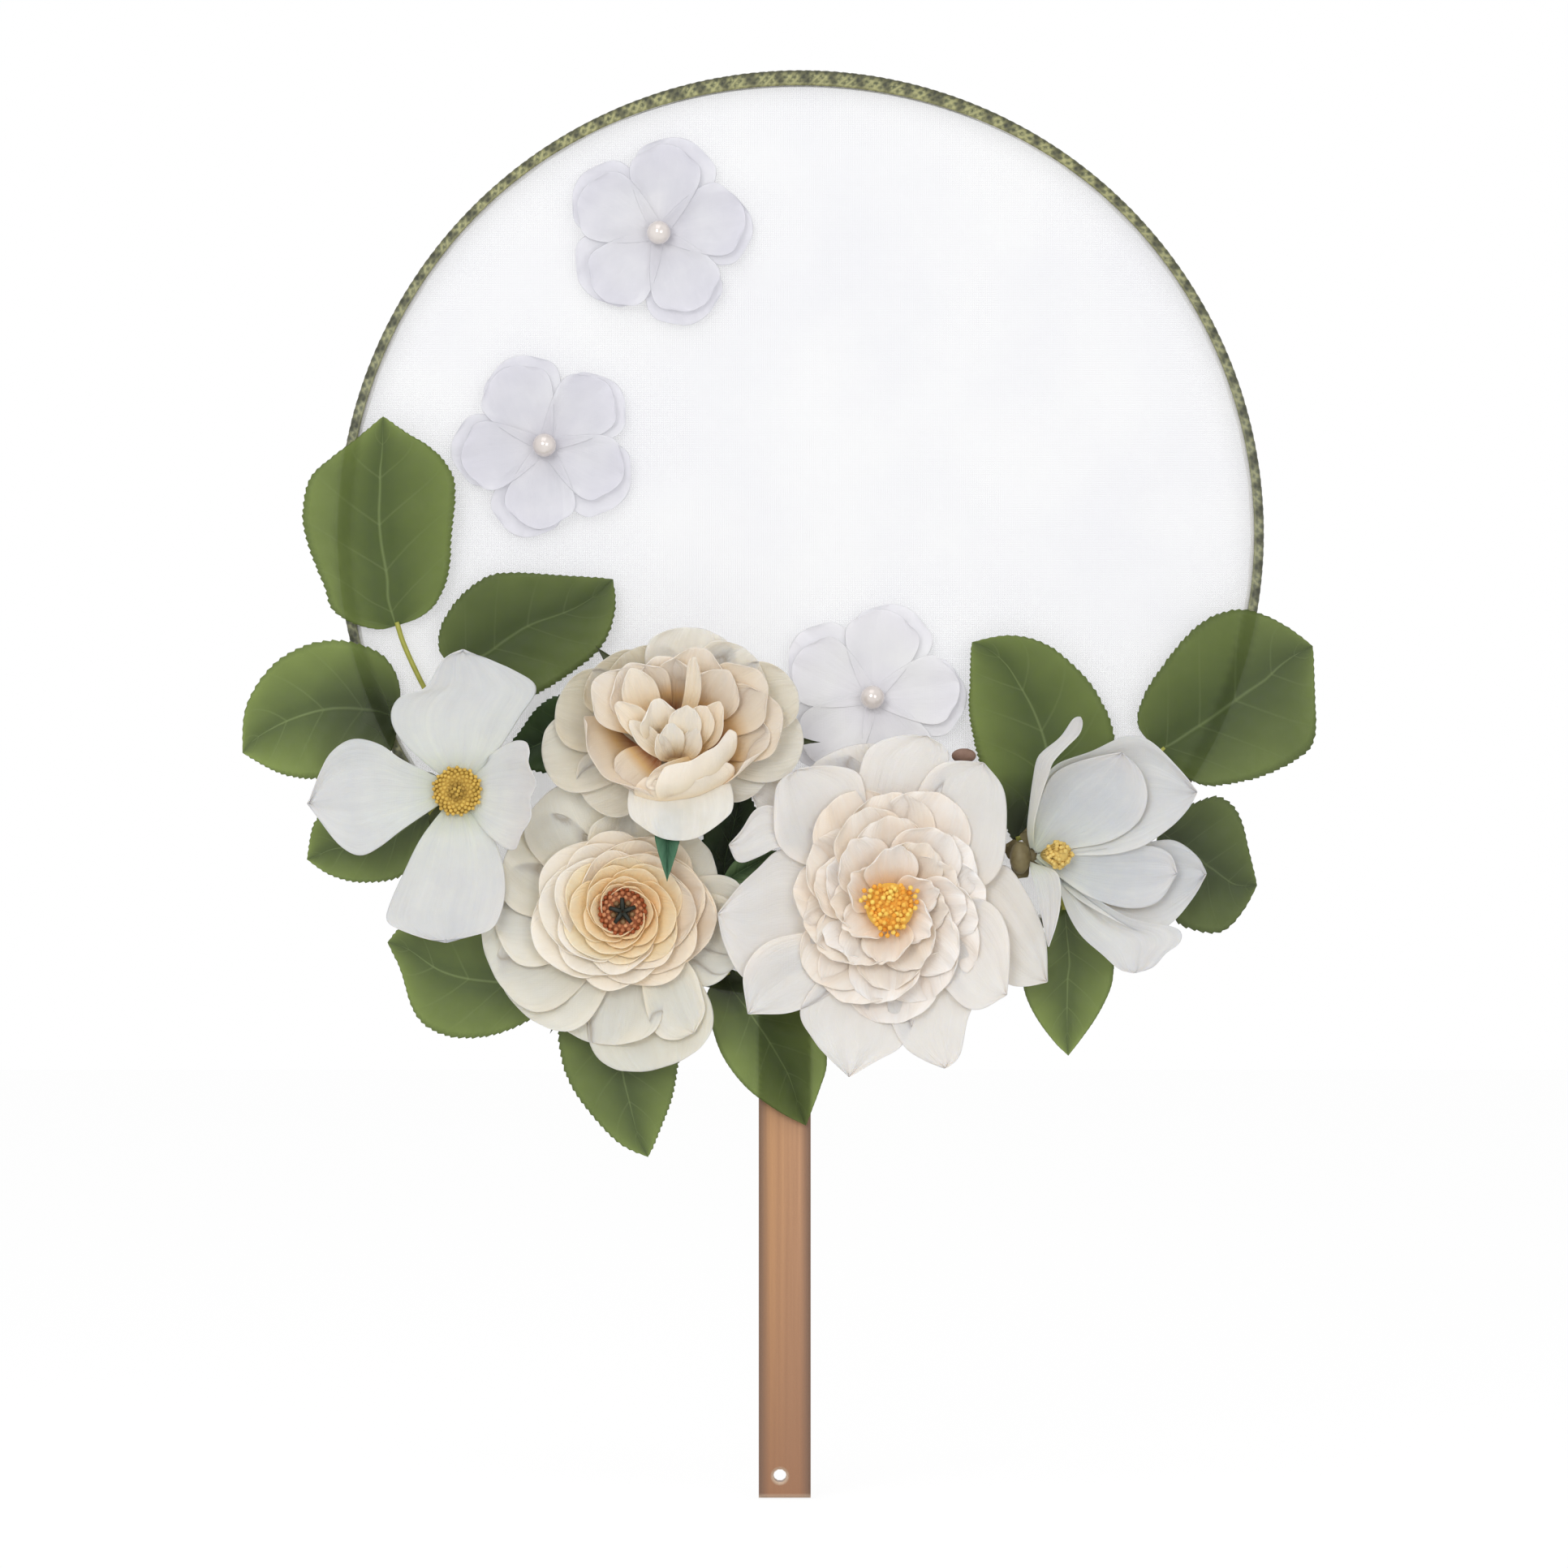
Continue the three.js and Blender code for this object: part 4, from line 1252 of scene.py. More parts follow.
def laid(seed: int, petals: Iterable[SweptPetal]) -> list[SweptPetal]:
    """Gives each petal of a layer its own unevenness and tone."""
    dice = random.Random(seed)
    return [
        replace(petal, seed=seed + 5.3 * i, tone=petal.tone + dice.uniform(-0.4, 0.4))
        for i, petal in enumerate(petals)
    ]


def ring_of_petals(spots: Sequence[Point], seed: int, share_width: float, **shape: object) -> list[Petal]:
    """Makes a ring of petals that differ a little from each other.

    Args:
        spots: Angle and length of each petal.
        seed: Start of the random differences.
        share_width: Width of a petal as a share of its length.
        shape: What else the petals have in common.

    Returns:
        The petals.
    """
    dice = random.Random(seed)
    return [
        Petal(
            angle=angle + dice.uniform(-3, 3), length=length * dice.uniform(0.97, 1.02),
            width=length * share_width * dice.uniform(0.94, 1.06), seed=seed + 7.3 * i,
            tone=dice.uniform(-1, 1), **shape
        )
        for i, (angle, length) in enumerate(spots)
    ]


def rows_of_petals(
    rows: Sequence[tuple[float, float, tuple[float, ...]]], oval: Callable[[float, float], Point],
    step: int, seed: int, share_width: float, row_rise: float, **shape: object
) -> list[Petal]:
    """Makes rings of petals inside each other, each a little higher than the one outside it.

    Args:
        rows: Length, first angle and slopes of each ring's petals.
        oval: Gives a petal's angle and length from its angle and its ring's length.
        step: Degrees from petal to petal.
        seed: Start of the random differences.
        share_width: Width of a petal as a share of its length.
        row_rise: How much higher each ring starts.
        shape: What else the petals have in common.

    Returns:
        The petals.
    """
    petals: list[Petal] = []
    for row, (length, first, slopes) in enumerate(rows):
        spots = [oval(angle + first, length) for angle in range(0, 360, step)]
        petals += ring_of_petals(
            spots, seed + row, share_width, slopes=slopes, base=row_rise * row, **shape
        )
    return petals


@dataclass
class Blossom:
    """A flower on its calyx: petal layers stacked along its axis, and its centres."""

    name: str
    angle: float
    inset: float
    height: float
    tilt: float = 0.0
    calyx_finish: MouldedFinish = CALYX_GREEN
    calyx_slot: str = "stem"
    sepals: int = 5
    sepal_length: float = 13.0
    long_sepals: tuple[Point, ...] = ()
    pod: tuple[float, float, float] | None = None
    pod_radii: tuple[float, float, float] = (3.1, 5.4, 3.4)
    rows: int = 18
    columns: int = 14

    def seat(self, tilt: float = 0.0) -> Matrix:
        """Gives the matrix that places a part of the flower over its spot on the cloth."""
        return on_face(polar(self.angle, self.inset), CLOTH_FRONT + SEAT_GAP + self.height, tilt)

    def hub(self, layer: int) -> float:
        """Gives the height of a layer's hub."""
        return RECEPTACLE_RADIUS + SEAT_GAP + PETAL_WALL / 2 + layer * (PETAL_WALL + SEAT_GAP)

    def add_petals(
        self, layer: int, node: str, petals: Sequence[Petal | OutlinePetal | SweptPetal],
        finish: PetalFinish, slot: str
    ) -> None:
        """Adds one layer of petals as one piece.

        Args:
            layer: The layer's place in the stack.
            node: The layer's name.
            petals: Its petals.
            finish: Their silk.
            slot: The record's slot.
        """
        bm = bmesh.new()
        for petal in petals:
            if isinstance(petal, OutlinePetal):
                cloth_grid(bm, petal.rows, self.columns, petal.surface(), petal.tone)
            else:
                cloth_grid(bm, self.rows, self.columns, petal.point, petal.tone)
        bmesh.ops.translate(bm, vec=(0, 0, self.hub(layer)), verts=bm.verts)
        nodes = [f"{self.name}_{node}"]
        add_piece(
            f"{nodes[0]}_silk", bm, self.seat(), finish.material(), slot, nodes, wall=PETAL_CLOTH,
            levels=1
        )

    def add_calyx(self) -> None:
        """Adds the post that carries the flower, with its sepals."""
        bm = bmesh.new()
        low = -self.height
        profile = [(0.0, low), (3.2, low), (3.3, low + 0.4), (2.4, low + 1.0), (1.8, 0.55 * low)]
        profile += [(2.6, -2.0), (3.0, -1.1), (3.2, 0.3), (2.6, 1.9), (1.4, 2.9), (0.0, 3.2)]
        tone_layer(bm)
        bm.loops.layers.uv.verify()
        turned(bm, profile, 28)
        sepal = Petal(
            0, 1, 5.5, (-6, 2, 6), Cut.POINTED, root=1.6, cup=0.5, ruffle=0.2, uneven=0.3, base=-0.3
        )
        for i in range(self.sepals):
            short = replace(
                sepal, angle=360 * i / self.sepals + 20, length=self.sepal_length, seed=3.1 * i
            )
            cloth_grid(bm, 10, 6, short.point, 0.3)
        for angle, length in self.long_sepals:
            long = replace(sepal, angle=angle, length=length, width=4.5, slopes=(-4, -2, 4), seed=angle)
            cloth_grid(bm, 20, 6, long.point, -0.4)
        if self.pod:
            shape = Matrix.Translation(self.pod) @ Matrix.Diagonal((*self.pod_radii, 1.0))
            bmesh.ops.create_icosphere(bm, subdivisions=3, radius=1.0, matrix=shape)
        nodes = [f"{self.name}_calyx"]
        finish = self.calyx_finish.material()
        add_piece(f"{nodes[0]}_moulded", bm, self.seat(), finish, self.calyx_slot, nodes)

    def add_centre(
        self, node: str, bm: Mesh, finish: MouldedFinish | PetalFinish, slot: str, wall: float = 0.0
    ) -> None:
        """Adds one of the flower's centres, which follow the tilt of its head.

        Args:
            node: The centre's name.
            bm: Its mesh in the head's own frame.
            finish: Its finish.
            slot: The record's slot.
            wall: Thickness of its cloth, where it is cloth.
        """
        nodes = [f"{self.name}_{node}"]
        place = self.seat(self.tilt)
        levels = 1 if wall else 0
        add_piece(
            f"{nodes[0]}_detail", bm, place, finish.material(), slot, nodes, wall=wall, levels=levels
        )


@dataclass
class Dogwood(Blossom):
    """White dogwood: four broad petals round a domed disc of stamens."""

    disc_radius: float = 6.6
    disc_height: float = 3.6
    grains: int = 120

    def build(self) -> None:
        """Builds the whole flower."""
        self.add_calyx()
        top = OutlinePetal(
            left=(
                (-3.4, 3.4), (-9.2, 7.9), (-15.8, 14.5), (-17.7, 20.2), (-15.1, 25), (-8.5, 27.6),
                (-3.9, 35.5), (1.8, 37.5)
            ),
            right=((3.4, 3.4), (10.1, 9.6), (17.1, 20.2), (21.3, 27.2), (16, 32), (9, 35.5), (1.8, 37.5)),
            heights=(0.0, 1.6, 5.6), scallops=0.5, crease=(-0.45, 1.6), base=0.3, seed=1.0, tone=0.3
        )
        left = OutlinePetal(
            left=(
                (-3.6, -2.8), (-14.5, -10.3), (-20.4, -14.9), (-25.6, -17.3), (-30.9, -14.9),
                (-35.7, -9.6), (-39.7, -3.3)
            ),
            right=(
                (-3.6, 3), (-14.7, 8.5), (-20.4, 12.5), (-27.4, 14), (-33.3, 10.7), (-36.8, 5),
                (-39.7, -3.3)
            ),
            heights=(0.0, 1.3, 5.0), scallops=0.3, cup=2.6, seed=2.4, tone=0.8
        )
        low = OutlinePetal(
            left=(
                (3, -3.6), (8.3, -10.5), (11.4, -16.2), (12.9, -24.3), (11.8, -32.6), (9, -37.5),
                (3.1, -39.2), (-2.8, -40.1)
            ),
            right=(
                (-3, -3.6), (-9.9, -12.7), (-14.5, -22.1), (-18, -30.2), (-18.8, -34.8), (-14.5, -37.7),
                (-8.5, -39.7), (-2.8, -40.1)
            ),
            heights=(0.0, 1.2, 4.6), scallops=0.6, cup=1.8, base=-0.2, seed=4.2, tone=0.1
        )
        side = Petal(
            angle=-4, length=25, width=29, slopes=(4, 40, 78), cut=Cut.BROAD, root=3.0, ruffle=0.8,
            notch=1.5, seed=5.0, tone=0.6
        )
        self.add_petals(0, "petals", [top, left, low, side], WHITE_SILK, "white_petal")
        bm = bmesh.new()
        tone_layer(bm)
        foot = self.hub(0) + PETAL_WALL
        disc = [(0, foot), (0.8 * self.disc_radius, foot), (0.95 * self.disc_radius, foot + 1.4)]
        disc += [
            (0.6 * self.disc_radius, foot + 0.8 * self.disc_height), (0, foot + self.disc_height - 0.6)
        ]
        turned(bm, disc, 24)
        dice = random.Random(11)
        for i in range(self.grains):
            out = self.disc_radius * math.sqrt((i + 0.5) / self.grains)
            turn = i * GOLDEN_TURN
            rise = foot + self.disc_height * (1 - 0.55 * (out / self.disc_radius) ** 2)
            dent = 0.5 * math.exp(-((out - 0.42 * self.disc_radius) ** 2) / 0.5)
            tone = 0.7 - 1.5 * math.exp(
                -((out - 0.3 * self.disc_radius) ** 2) / 0.8
            ) + dice.uniform(-0.3, 0.3)
            bead(bm, around(out, turn, rise - dent), 0.62, tone)
        self.add_centre("stamens", bm, GOLD_STAMEN, "gold")


@dataclass
class Rose(Blossom):
    """Open cream rose, whose petals each follow their own line."""

    def build(self) -> None:
        """Builds the whole flower."""
        self.add_calyx()
        # Tones are painted light and shade: lighter on the top and bottom petals, darker on the left.
        outer = [
            SweptPetal(((-1, 1, 0), (-7, 12, 4.5), (-12.5, 22.5, 8)), 22, tone=-0.6),
            SweptPetal(((1, 1, 0), (12, 13, 6), (20, 21.5, 10)), 21, tone=0.5),
            SweptPetal(((0.5, 1, 0), (3, 15, 6), (5.5, 28.5, 10)), 25, lap=1.0, tone=0.8),
            SweptPetal(((1.5, 0.5, 0), (17, 8, 5), (32, 12.5, 9)), 20, lap=1.0, tone=-0.2),
            SweptPetal(((1.5, -0.5, 0), (18, -3, 3), (34, -2.5, 5)), 20, lap=-1.0, tone=0.2),
            SweptPetal(((1, -1, 0), (12, -8, 1.5), (24.5, -12, 3)), 18, tone=0.2),
            SweptPetal(
                ((0, -1.5, 0), (1, -15, 7), (1.5, -28.5, 11.5)), 28, Cut.BROAD, round_tip=5, tone=0.7
            ),
            SweptPetal(((-1, -1, 0), (-13, -10, 1.5), (-25, -17, 3)), 20, tone=-0.2),
            SweptPetal(((-1.5, -0.5, 0), (-19, -3.5, 2), (-36, -6.5, 4)), 22, lap=1.0, tone=-0.5),
            SweptPetal(((-1, 1, 0), (-13, 12, 4), (-22.5, 17, 7)), 20, tone=-0.9),
            SweptPetal(((-1.5, 0, 0), (-17, 5, 3), (-32, 8.5, 6)), 23, lap=-1.0, tone=-1.0)
        ]
        self.add_petals(0, "outer_petals", laid(21, outer), OUTER_CREAM_SILK, "cream_petal")
        # Tones are painted light and shade: lighter at the top, darker on the right and in the lower-left
        # pocket.
        middle = [
            SweptPetal(((-1, 3, 0), (-3, 12, 7), (-4.5, 21, 14)), 20, curl=2, tone=0.3),
            SweptPetal(((3, 1, 0), (14, 8, 8), (23.5, 15.5, 14)), 20, curl=2, tone=-0.5),
            SweptPetal(((1, 3, 0), (4, 12, 7), (6.5, 23, 15)), 20, curl=2, lap=1.0, tone=0.5),
            SweptPetal(((-3, 3, 0), (-9, 10, 8), (-13.5, 18.5, 14)), 18, curl=2, lap=-1.0),
            SweptPetal(((3, 2, 0), (9, 9, 8), (13.5, 17, 15)), 15, curl=1.5, lap=1.5),
            SweptPetal(((5, -3, 0), (16, 2, 7), (28, 7, 12)), 22, curl=2, lap=1.0, tone=-1.0),
            SweptPetal(((-2, 1, 0), (-12, 8, 8), (-22, 14.5, 13)), 18, curl=2, tone=-0.3),
            SweptPetal(
                ((-6, -5, 0), (-11, -6.5, 2), (-17, -8.5, 7), (-21, -9.5, 12)), 29, Cut.BROAD,
                heading=222, curl=4, tone=-0.9
            ),
            # A small petal set very dark: painted shade deep in the lower-left hollow.
            SweptPetal(
                ((-5, -4.5, 7), (-10, -8.5, 8), (-15, -13, 7.5)), 12, Cut.BROAD, cup=0.3, tone=-2.0
            ),
            SweptPetal(
                ((6, -8, 0), (14, -8, 4), (20, -5, 8), (25, -2, 11)), 18, heading=-20, curl=3, tone=-0.6
            )
        ]
        self.add_petals(1, "middle_petals", laid(22, middle), CREAM_SILK, "cream_petal")
        inner = [
            SweptPetal(((-1, -2, 0), (4, 9, 11), (5.3, 20.5, 18)), 5, lean=-30, cup=0.5),
            SweptPetal(((-4, -1, 1), (-8.5, 8, 9), (-12, 17.5, 15)), 10, curl=1),
            SweptPetal(((1, -5, 1), (8, 0, 10), (12, 8.5, 15)), 8, curl=1),
            SweptPetal(((-2, -4, 1), (-4.5, 2.5, 10), (-5.5, 9.5, 15)), 11, curl=2, lap=1.0, tone=0.8),
            SweptPetal(((0, -6, 1), (-8, 1, 9), (-16, 8.5, 14)), 7.5, curl=1, lap=-1.0, tone=0.3),
            SweptPetal(((2, -8, 2), (-5.5, -3, 8), (-12.5, 3.5, 12.5)), 6, curl=0.5, tone=0.6),
            SweptPetal(((1, -6, 1), (5.5, 0.5, 11), (8, 7.5, 16)), 8, cup=1.0),
            SweptPetal(((0, -6, 1), (2, 0, 11), (3, 7.5, 17)), 9, cup=1.0, lap=0.8, tone=0.6),
            SweptPetal(((7, -6, 4), (0.5, -9.5, 8.5), (-8, -14, 10)), 6.5, cup=1.0, tone=0.5),
            SweptPetal(
                ((-1, -6, 0), (2, -16.5, 4), (3, -16, 9), (3.5, -12.5, 11.5)), 27, Cut.BROAD, heading=-78,
                cup=1.5, curl=4, ruffle=0.6, round_tip=1.5, tone=-0.3
            ),
            SweptPetal(
                ((2, -5, 1), (6, -13.5, 7), (7, -10.5, 12.5), (7.5, -5, 15)), 25, Cut.BROAD, heading=-60,
                cup=2.0, curl=3, ruffle=0.6, round_tip=1.5, tone=0.5
            )
        ]
        self.add_petals(2, "inner_petals", laid(24, inner), PALE_CREAM_SILK, "peach_petal")
        bm = bmesh.new()
        heart = [
            SweptPetal(((0, -7, 2), (-1, -3, 10), (-1.5, 3, 14.5)), 7, cup=0.8, tone=0.9),
            SweptPetal(((-1, -7, 2), (-3, -5, 9), (-5, 0, 13.5)), 5, cup=0.8, lap=0.6, tone=0.6),
            SweptPetal(((1, -7, 2), (3.5, -4, 9), (6, 1.5, 13.5)), 6, cup=0.8, lap=-0.6, tone=0.8)
        ]
        for petal in laid(26, heart):
            cloth_grid(bm, 14, 10, petal.point, petal.tone)
        bmesh.ops.translate(bm, vec=(0, 0, self.hub(2)), verts=bm.verts)
        self.add_centre("heart", bm, PALE_CREAM_SILK, "peach_petal", wall=PETAL_CLOTH)


@dataclass
class Ranunculus(Blossom):
    """Ranunculus: close rings of petals, a ring of rust stamens and a green eye."""

    squash: float = 0.16

    def oval(self, angle: float, length: float) -> Point:
        """Gives a petal's angle and length in a cup that is wider than it is high."""
        return angle, length * (1 - self.squash * math.sin(math.radians(angle)) ** 2)

    def painted_side_shade(self, angle: float) -> float:
        """Gives the painted shade on a petal's side of the cup, from -1 on the left to 1 on the right,
        where petals are darkest and most gold.
        """
        return math.cos(math.radians(angle - 15))

    def build(self) -> None:
        """Builds the whole flower."""
        self.add_calyx()
        outer = ring_of_petals(
            [
                (88, 27), (118, 38), (152, 34), (182, 34), (205, 39), (224, 38), (262, 36), (281, 42),
                (339, 32), (349, 34), (38, 28)
            ],
            31, 0.84, slopes=(0, 6, 12), lap=1.6, cup=2.0, ruffle=0.5
        )
        beside_leaf = OutlinePetal(
            left=((1.5, -0.5), (12, -8), (19, -15.5), (21.3, -22), (22, -27), (19, -32.5)),
            right=((0, -1.5), (4, -14), (6, -26), (9, -33), (14, -34.5), (19, -32.5)),
            heights=(0.0, 2.4, 6.0), base=0.8, seed=12.0, tone=0.3
        )
        self.add_petals(0, "outer_petals", [*outer, beside_leaf], WARM_IVORY_SILK, "cream_petal")
        middle = rows_of_petals(
            [(25.92, 0, (4, 16, 30)), (23.22, 24, (6, 20, 36)), (20.79, 6, (8, 26, 42))], self.oval, 51,
            32, 1.1, 0.4, wrap=0.55, lap=1.2, cup=0.6, ruffle=0.12, uneven=0.4, round_tip=3.0
        )
        # Painted shade: middle petals on the right of the cup are darker and more gold.
        middle = [replace(petal, tone=0.2 - 0.9 * self.painted_side_shade(petal.angle)) for petal in middle]
        self.add_petals(1, "middle_petals", middle, PALE_CREAM_SILK, "cream_petal")
        steep = [(18.2, 30, (10, 28, 46)), (15.86, 0, (14, 34, 54))]
        steep += [(13.52, 32, (18, 44, 62)), (11.44, 10, (24, 54, 72))]
        inner = rows_of_petals(
            steep, self.oval, 60, 35, 1.15, 0.4, wrap=0.85, lap=1.0, cup=0.2, ruffle=0.1, uneven=0.3,
            round_tip=1.6
        )
        # Inner rows grow more orange towards the middle; painted shade darkens the right of the cup.
        inner = [
            replace(petal, tone=0.9 - 0.07 * i - 0.3 * self.painted_side_shade(petal.angle))
            for i, petal in enumerate(inner)
        ]
        self.add_petals(2, "inner_petals", inner, PEACH_SILK, "peach_petal")
        foot = self.hub(2) + 1.6
        dice = random.Random(37)
        bm = bmesh.new()
        pad(bm, [(0, foot), (5.4, foot), (6.2, foot + 4.9), (3.8, foot + 5.2), (0, foot + 3.8)], -0.6)
        for row, (out, count, top) in enumerate([(3.9, 14, 5.4), (5.0, 18, 5.9), (6.0, 23, 5.6)]):
            for i in range(count):
                turn = 2 * math.pi * (i + 0.5 * row) / count
                rise = foot + top + dice.uniform(-0.25, 0.25)
                tone = (0.7, 0.1, -1.0)[row] + dice.uniform(-0.4, 0.4)
                stamen(bm, around(0.7 * out, turn, foot), around(out, turn, rise), 0.25, -0.6, 0.68, tone)
        self.add_centre("stamens", bm, RUST_STAMEN, "rust")
        bm = bmesh.new()
        tone_layer(bm)
        turned(bm, [(0, foot), (3.0, foot), (3.2, foot + 3.6), (2.0, foot + 5.0), (0, foot + 5.3)], 20)
        for i in range(5):
            turn = math.radians(72 * i + 20)
            filament(bm, around(0.4, turn, foot + 5.8), around(3.7, turn, foot + 6.1), 0.8, -1.0)
            bead(bm, around(2.7, turn + math.radians(36), foot + 5.0), 0.95, 1.0)
        self.add_centre("eye", bm, EYE_GREEN, "dark_green")


@dataclass
class Peony(Blossom):
    """Large peony: pointed guard petals round two ruffled cups and amber stamens."""

    stretch: float = 0.3

    def oval(self, angle: float, length: float) -> Point:
        """Gives a ruffle petal's angle and length in a cup that is higher than it is wide."""
        rise = math.sin(math.radians(angle))
        return angle, length * (1 + self.stretch * rise**2 + 0.2 * self.stretch * rise * abs(rise))

    def tone_with_painted_shade(self, angle: float) -> float:
        """Gives a ruffle petal's tone: painted shade makes it darker and more gold on the left of the cup
        than on the right.
        """
        return 0.1 + 0.9 * math.cos(math.radians(angle + 15)) + 0.3 * math.sin(math.radians(3 * angle))

    def build(self) -> None:
        """Builds the whole flower."""
        self.add_calyx()
        # The guard petals with tone -1 are painted darker: painted shade on them.
        guard: list[Petal | OutlinePetal] = [
            OutlinePetal(
                left=((1.5, 1), (18, 6), (30, 11.5), (36.5, 4), (41.7, -7.7), (42.3, -20.2)),
                right=((1.5, -1), (16, -10), (30, -20), (36, -21.5), (42.3, -20.2)),
                heights=(0.0, 2.0, 4.0), crease=(0.2, 1.5), seed=9.0, tone=-1.0
            )
        ]
        guard += ring_of_petals(
            [(62, 38), (104, 43), (118, 42)], 41, 0.6, slopes=(0, 2, 5), cut=Cut.BROAD, lap=0.4, cup=0.8,
            ruffle=0.4
        )
        guard.append(
            OutlinePetal(
                left=((-1.5, 1), (-14, 12), (-25, 19), (-33, 22), (-37, 30)),
                right=((-0.5, 1.5), (-10, 17), (-20, 29), (-28, 36), (-34, 38), (-37, 30)),
                heights=(0.0, 1.5, 3.0), seed=11.0, tone=-1.0
            )
        )
        guard.append(
            OutlinePetal(
                left=(
                    (-1.5, 0.5), (-14, 8.5), (-23, 15), (-29.6, 15.8), (-34.5, 13.4), (-40.5, 11.6),
                    (-43, 16.5)
                ),
                right=(
                    (-0.5, 1.5), (-12, 14), (-24, 22.5), (-31, 27), (-36, 26), (-39.5, 20.5), (-43, 16.5)
                ),
                heights=(0.0, 3.6, 7.0), base=0.6, seed=10.0, tone=0.7
            )
        )
        self.add_petals(0, "guard_petals", guard, IVORY_SILK, "white_petal")
        rise = (0.0, 3.6, 8.5)
        low_rise = (0.0, 2.4, 5.0)
        outer = [
            OutlinePetal(
                left=((-1, -1), (-14, -13), (-26, -19), (-38, -20), (-44, -11), (-46, -2)),
                right=(
                    (-1, 1), (-14, 8.5), (-23, 14), (-29.6, 15.3), (-35, 10.5), (-40.5, 5.2), (-46, -2)
                ),
                heights=low_rise, seed=4.0, tone=0.8
            ),
            OutlinePetal(
                left=((-1.5, -0.5), (-18, -6), (-32, -9), (-39, -17), (-37.9, -28.7)),
                right=((-0.5, -1.5), (-12, -20), (-25, -28), (-37.9, -28.7)), heights=low_rise, base=1.5,
                seed=5.0, tone=0.6
            ),
            OutlinePetal(
                left=((-1.5, -1), (-14, -14), (-24, -27), (-20.5, -35.5), (-16.8, -40), (-10.9, -45.5)),
                right=((1, -1.5), (6, -15), (7, -28), (3.5, -37), (-3, -41), (-10.9, -45.5)),
                heights=low_rise, base=2.0, seed=6.0, tone=0.9
            ),
            OutlinePetal(
                left=((-0.5, -1.5), (-1, -15), (-0.5, -28), (3.5, -37), (9, -41), (14.7, -43.2)),
                right=((1.5, -1), (14, -14), (22, -24), (20.6, -31), (18.7, -40), (14.7, -43.2)),
                heights=low_rise, base=2.3, seed=7.0, tone=0.7
            ),
            OutlinePetal(
                left=((1, -1.5), (10, -15), (18, -25.5), (24, -27.5), (31.2, -23.5)),
                right=((1.5, 0.5), (16, 3.5), (27, 1), (31.5, -6), (32, -15), (31.2, -23.5)),
                heights=rise, base=1.6, seed=8.0, tone=1.0
            ),
            OutlinePetal(
                left=((-0.5, 2), (-6, 15), (-9, 27), (-8, 37), (-5, 43), (3, 45.8), (10, 45.6)),
                right=((1, 2), (8, 15), (13, 28), (15.5, 37), (15.5, 42), (10, 45.6)), heights=rise,
                seed=2.0, tone=0.9
            ),
            OutlinePetal(
                left=((-1, 1), (-14, 8), (-26, 12.5), (-30.5, 18), (-31, 26), (-30, 33), (-25, 36.5)),
                right=((-0.5, 2), (-5, 15), (-6, 28), (-8, 35.5), (-14, 37.5), (-20, 37.5), (-25, 36.5)),
                heights=rise, base=0.6, seed=3.0, tone=0.5
            ),
            OutlinePetal(
                left=((0.5, 2), (3, 15), (6, 27), (9, 34), (13, 38), (18, 39), (25, 38.5)),
                right=((2, 0.5), (12, 2), (23, 4), (29.5, 9.4), (31.2, 18.6), (30.6, 31), (25, 38.5)),
                heights=rise, base=0.5, seed=1.0, tone=0.6
            )
        ]
        self.add_petals(1, "outer_petals", outer, IVORY_SILK, "white_petal")
        ruffle = rows_of_petals(
            [(25, 12, (8, 11, 15)), (23, 38, (9, 13, 20)), (20.5, 4, (10, 17, 26))], self.oval, 52, 43,
            0.8, 0.6, wrap=0.3, lap=1.6, cup=1.2, ruffle=0.6, uneven=1.1
        )
        # Painted shade on the ruffle's left side, through the tone.
        ruffle = [replace(petal, tone=self.tone_with_painted_shade(petal.angle)) for petal in ruffle]
        self.add_petals(2, "outer_ruffle", ruffle, BLUSH_SILK, "cream_petal")
        inner = rows_of_petals(
            [(18.5, 30, (12, 20, 30)), (16.5, 0, (15, 27, 38)), (14, 28, (20, 36, 50))], self.oval, 60,
            47, 0.85, 0.6, wrap=0.5, lap=1.8, cup=1.0, ruffle=0.7, uneven=1.1
        )
        self.add_petals(3, "inner_ruffle", inner, BLUSH_SILK, "cream_petal")
        foot = self.hub(3) + 1.0
        dice = random.Random(47)
        bm = bmesh.new()
        pad(bm, [(0, foot), (4.0, foot), (6.4, foot + 6.2), (4.0, foot + 7.2), (0, foot + 7.6)], 0.2)
        for i in range(90):
            turn = i * GOLDEN_TURN
            out = 7.0 * math.sqrt((i + 0.5) / 90) * (1 + 0.25 * math.sin(3 * turn))
            top = foot + 8.5 + dice.uniform(-1.6, 1.0)
            tone = dice.uniform(-0.7, 1.2)
            stamen(bm, around(0.4 * out, turn, foot), around(out, turn, top), 0.2, -0.2, 0.75, tone)
        self.add_centre("stamens", bm, AMBER_STAMEN, "gold")


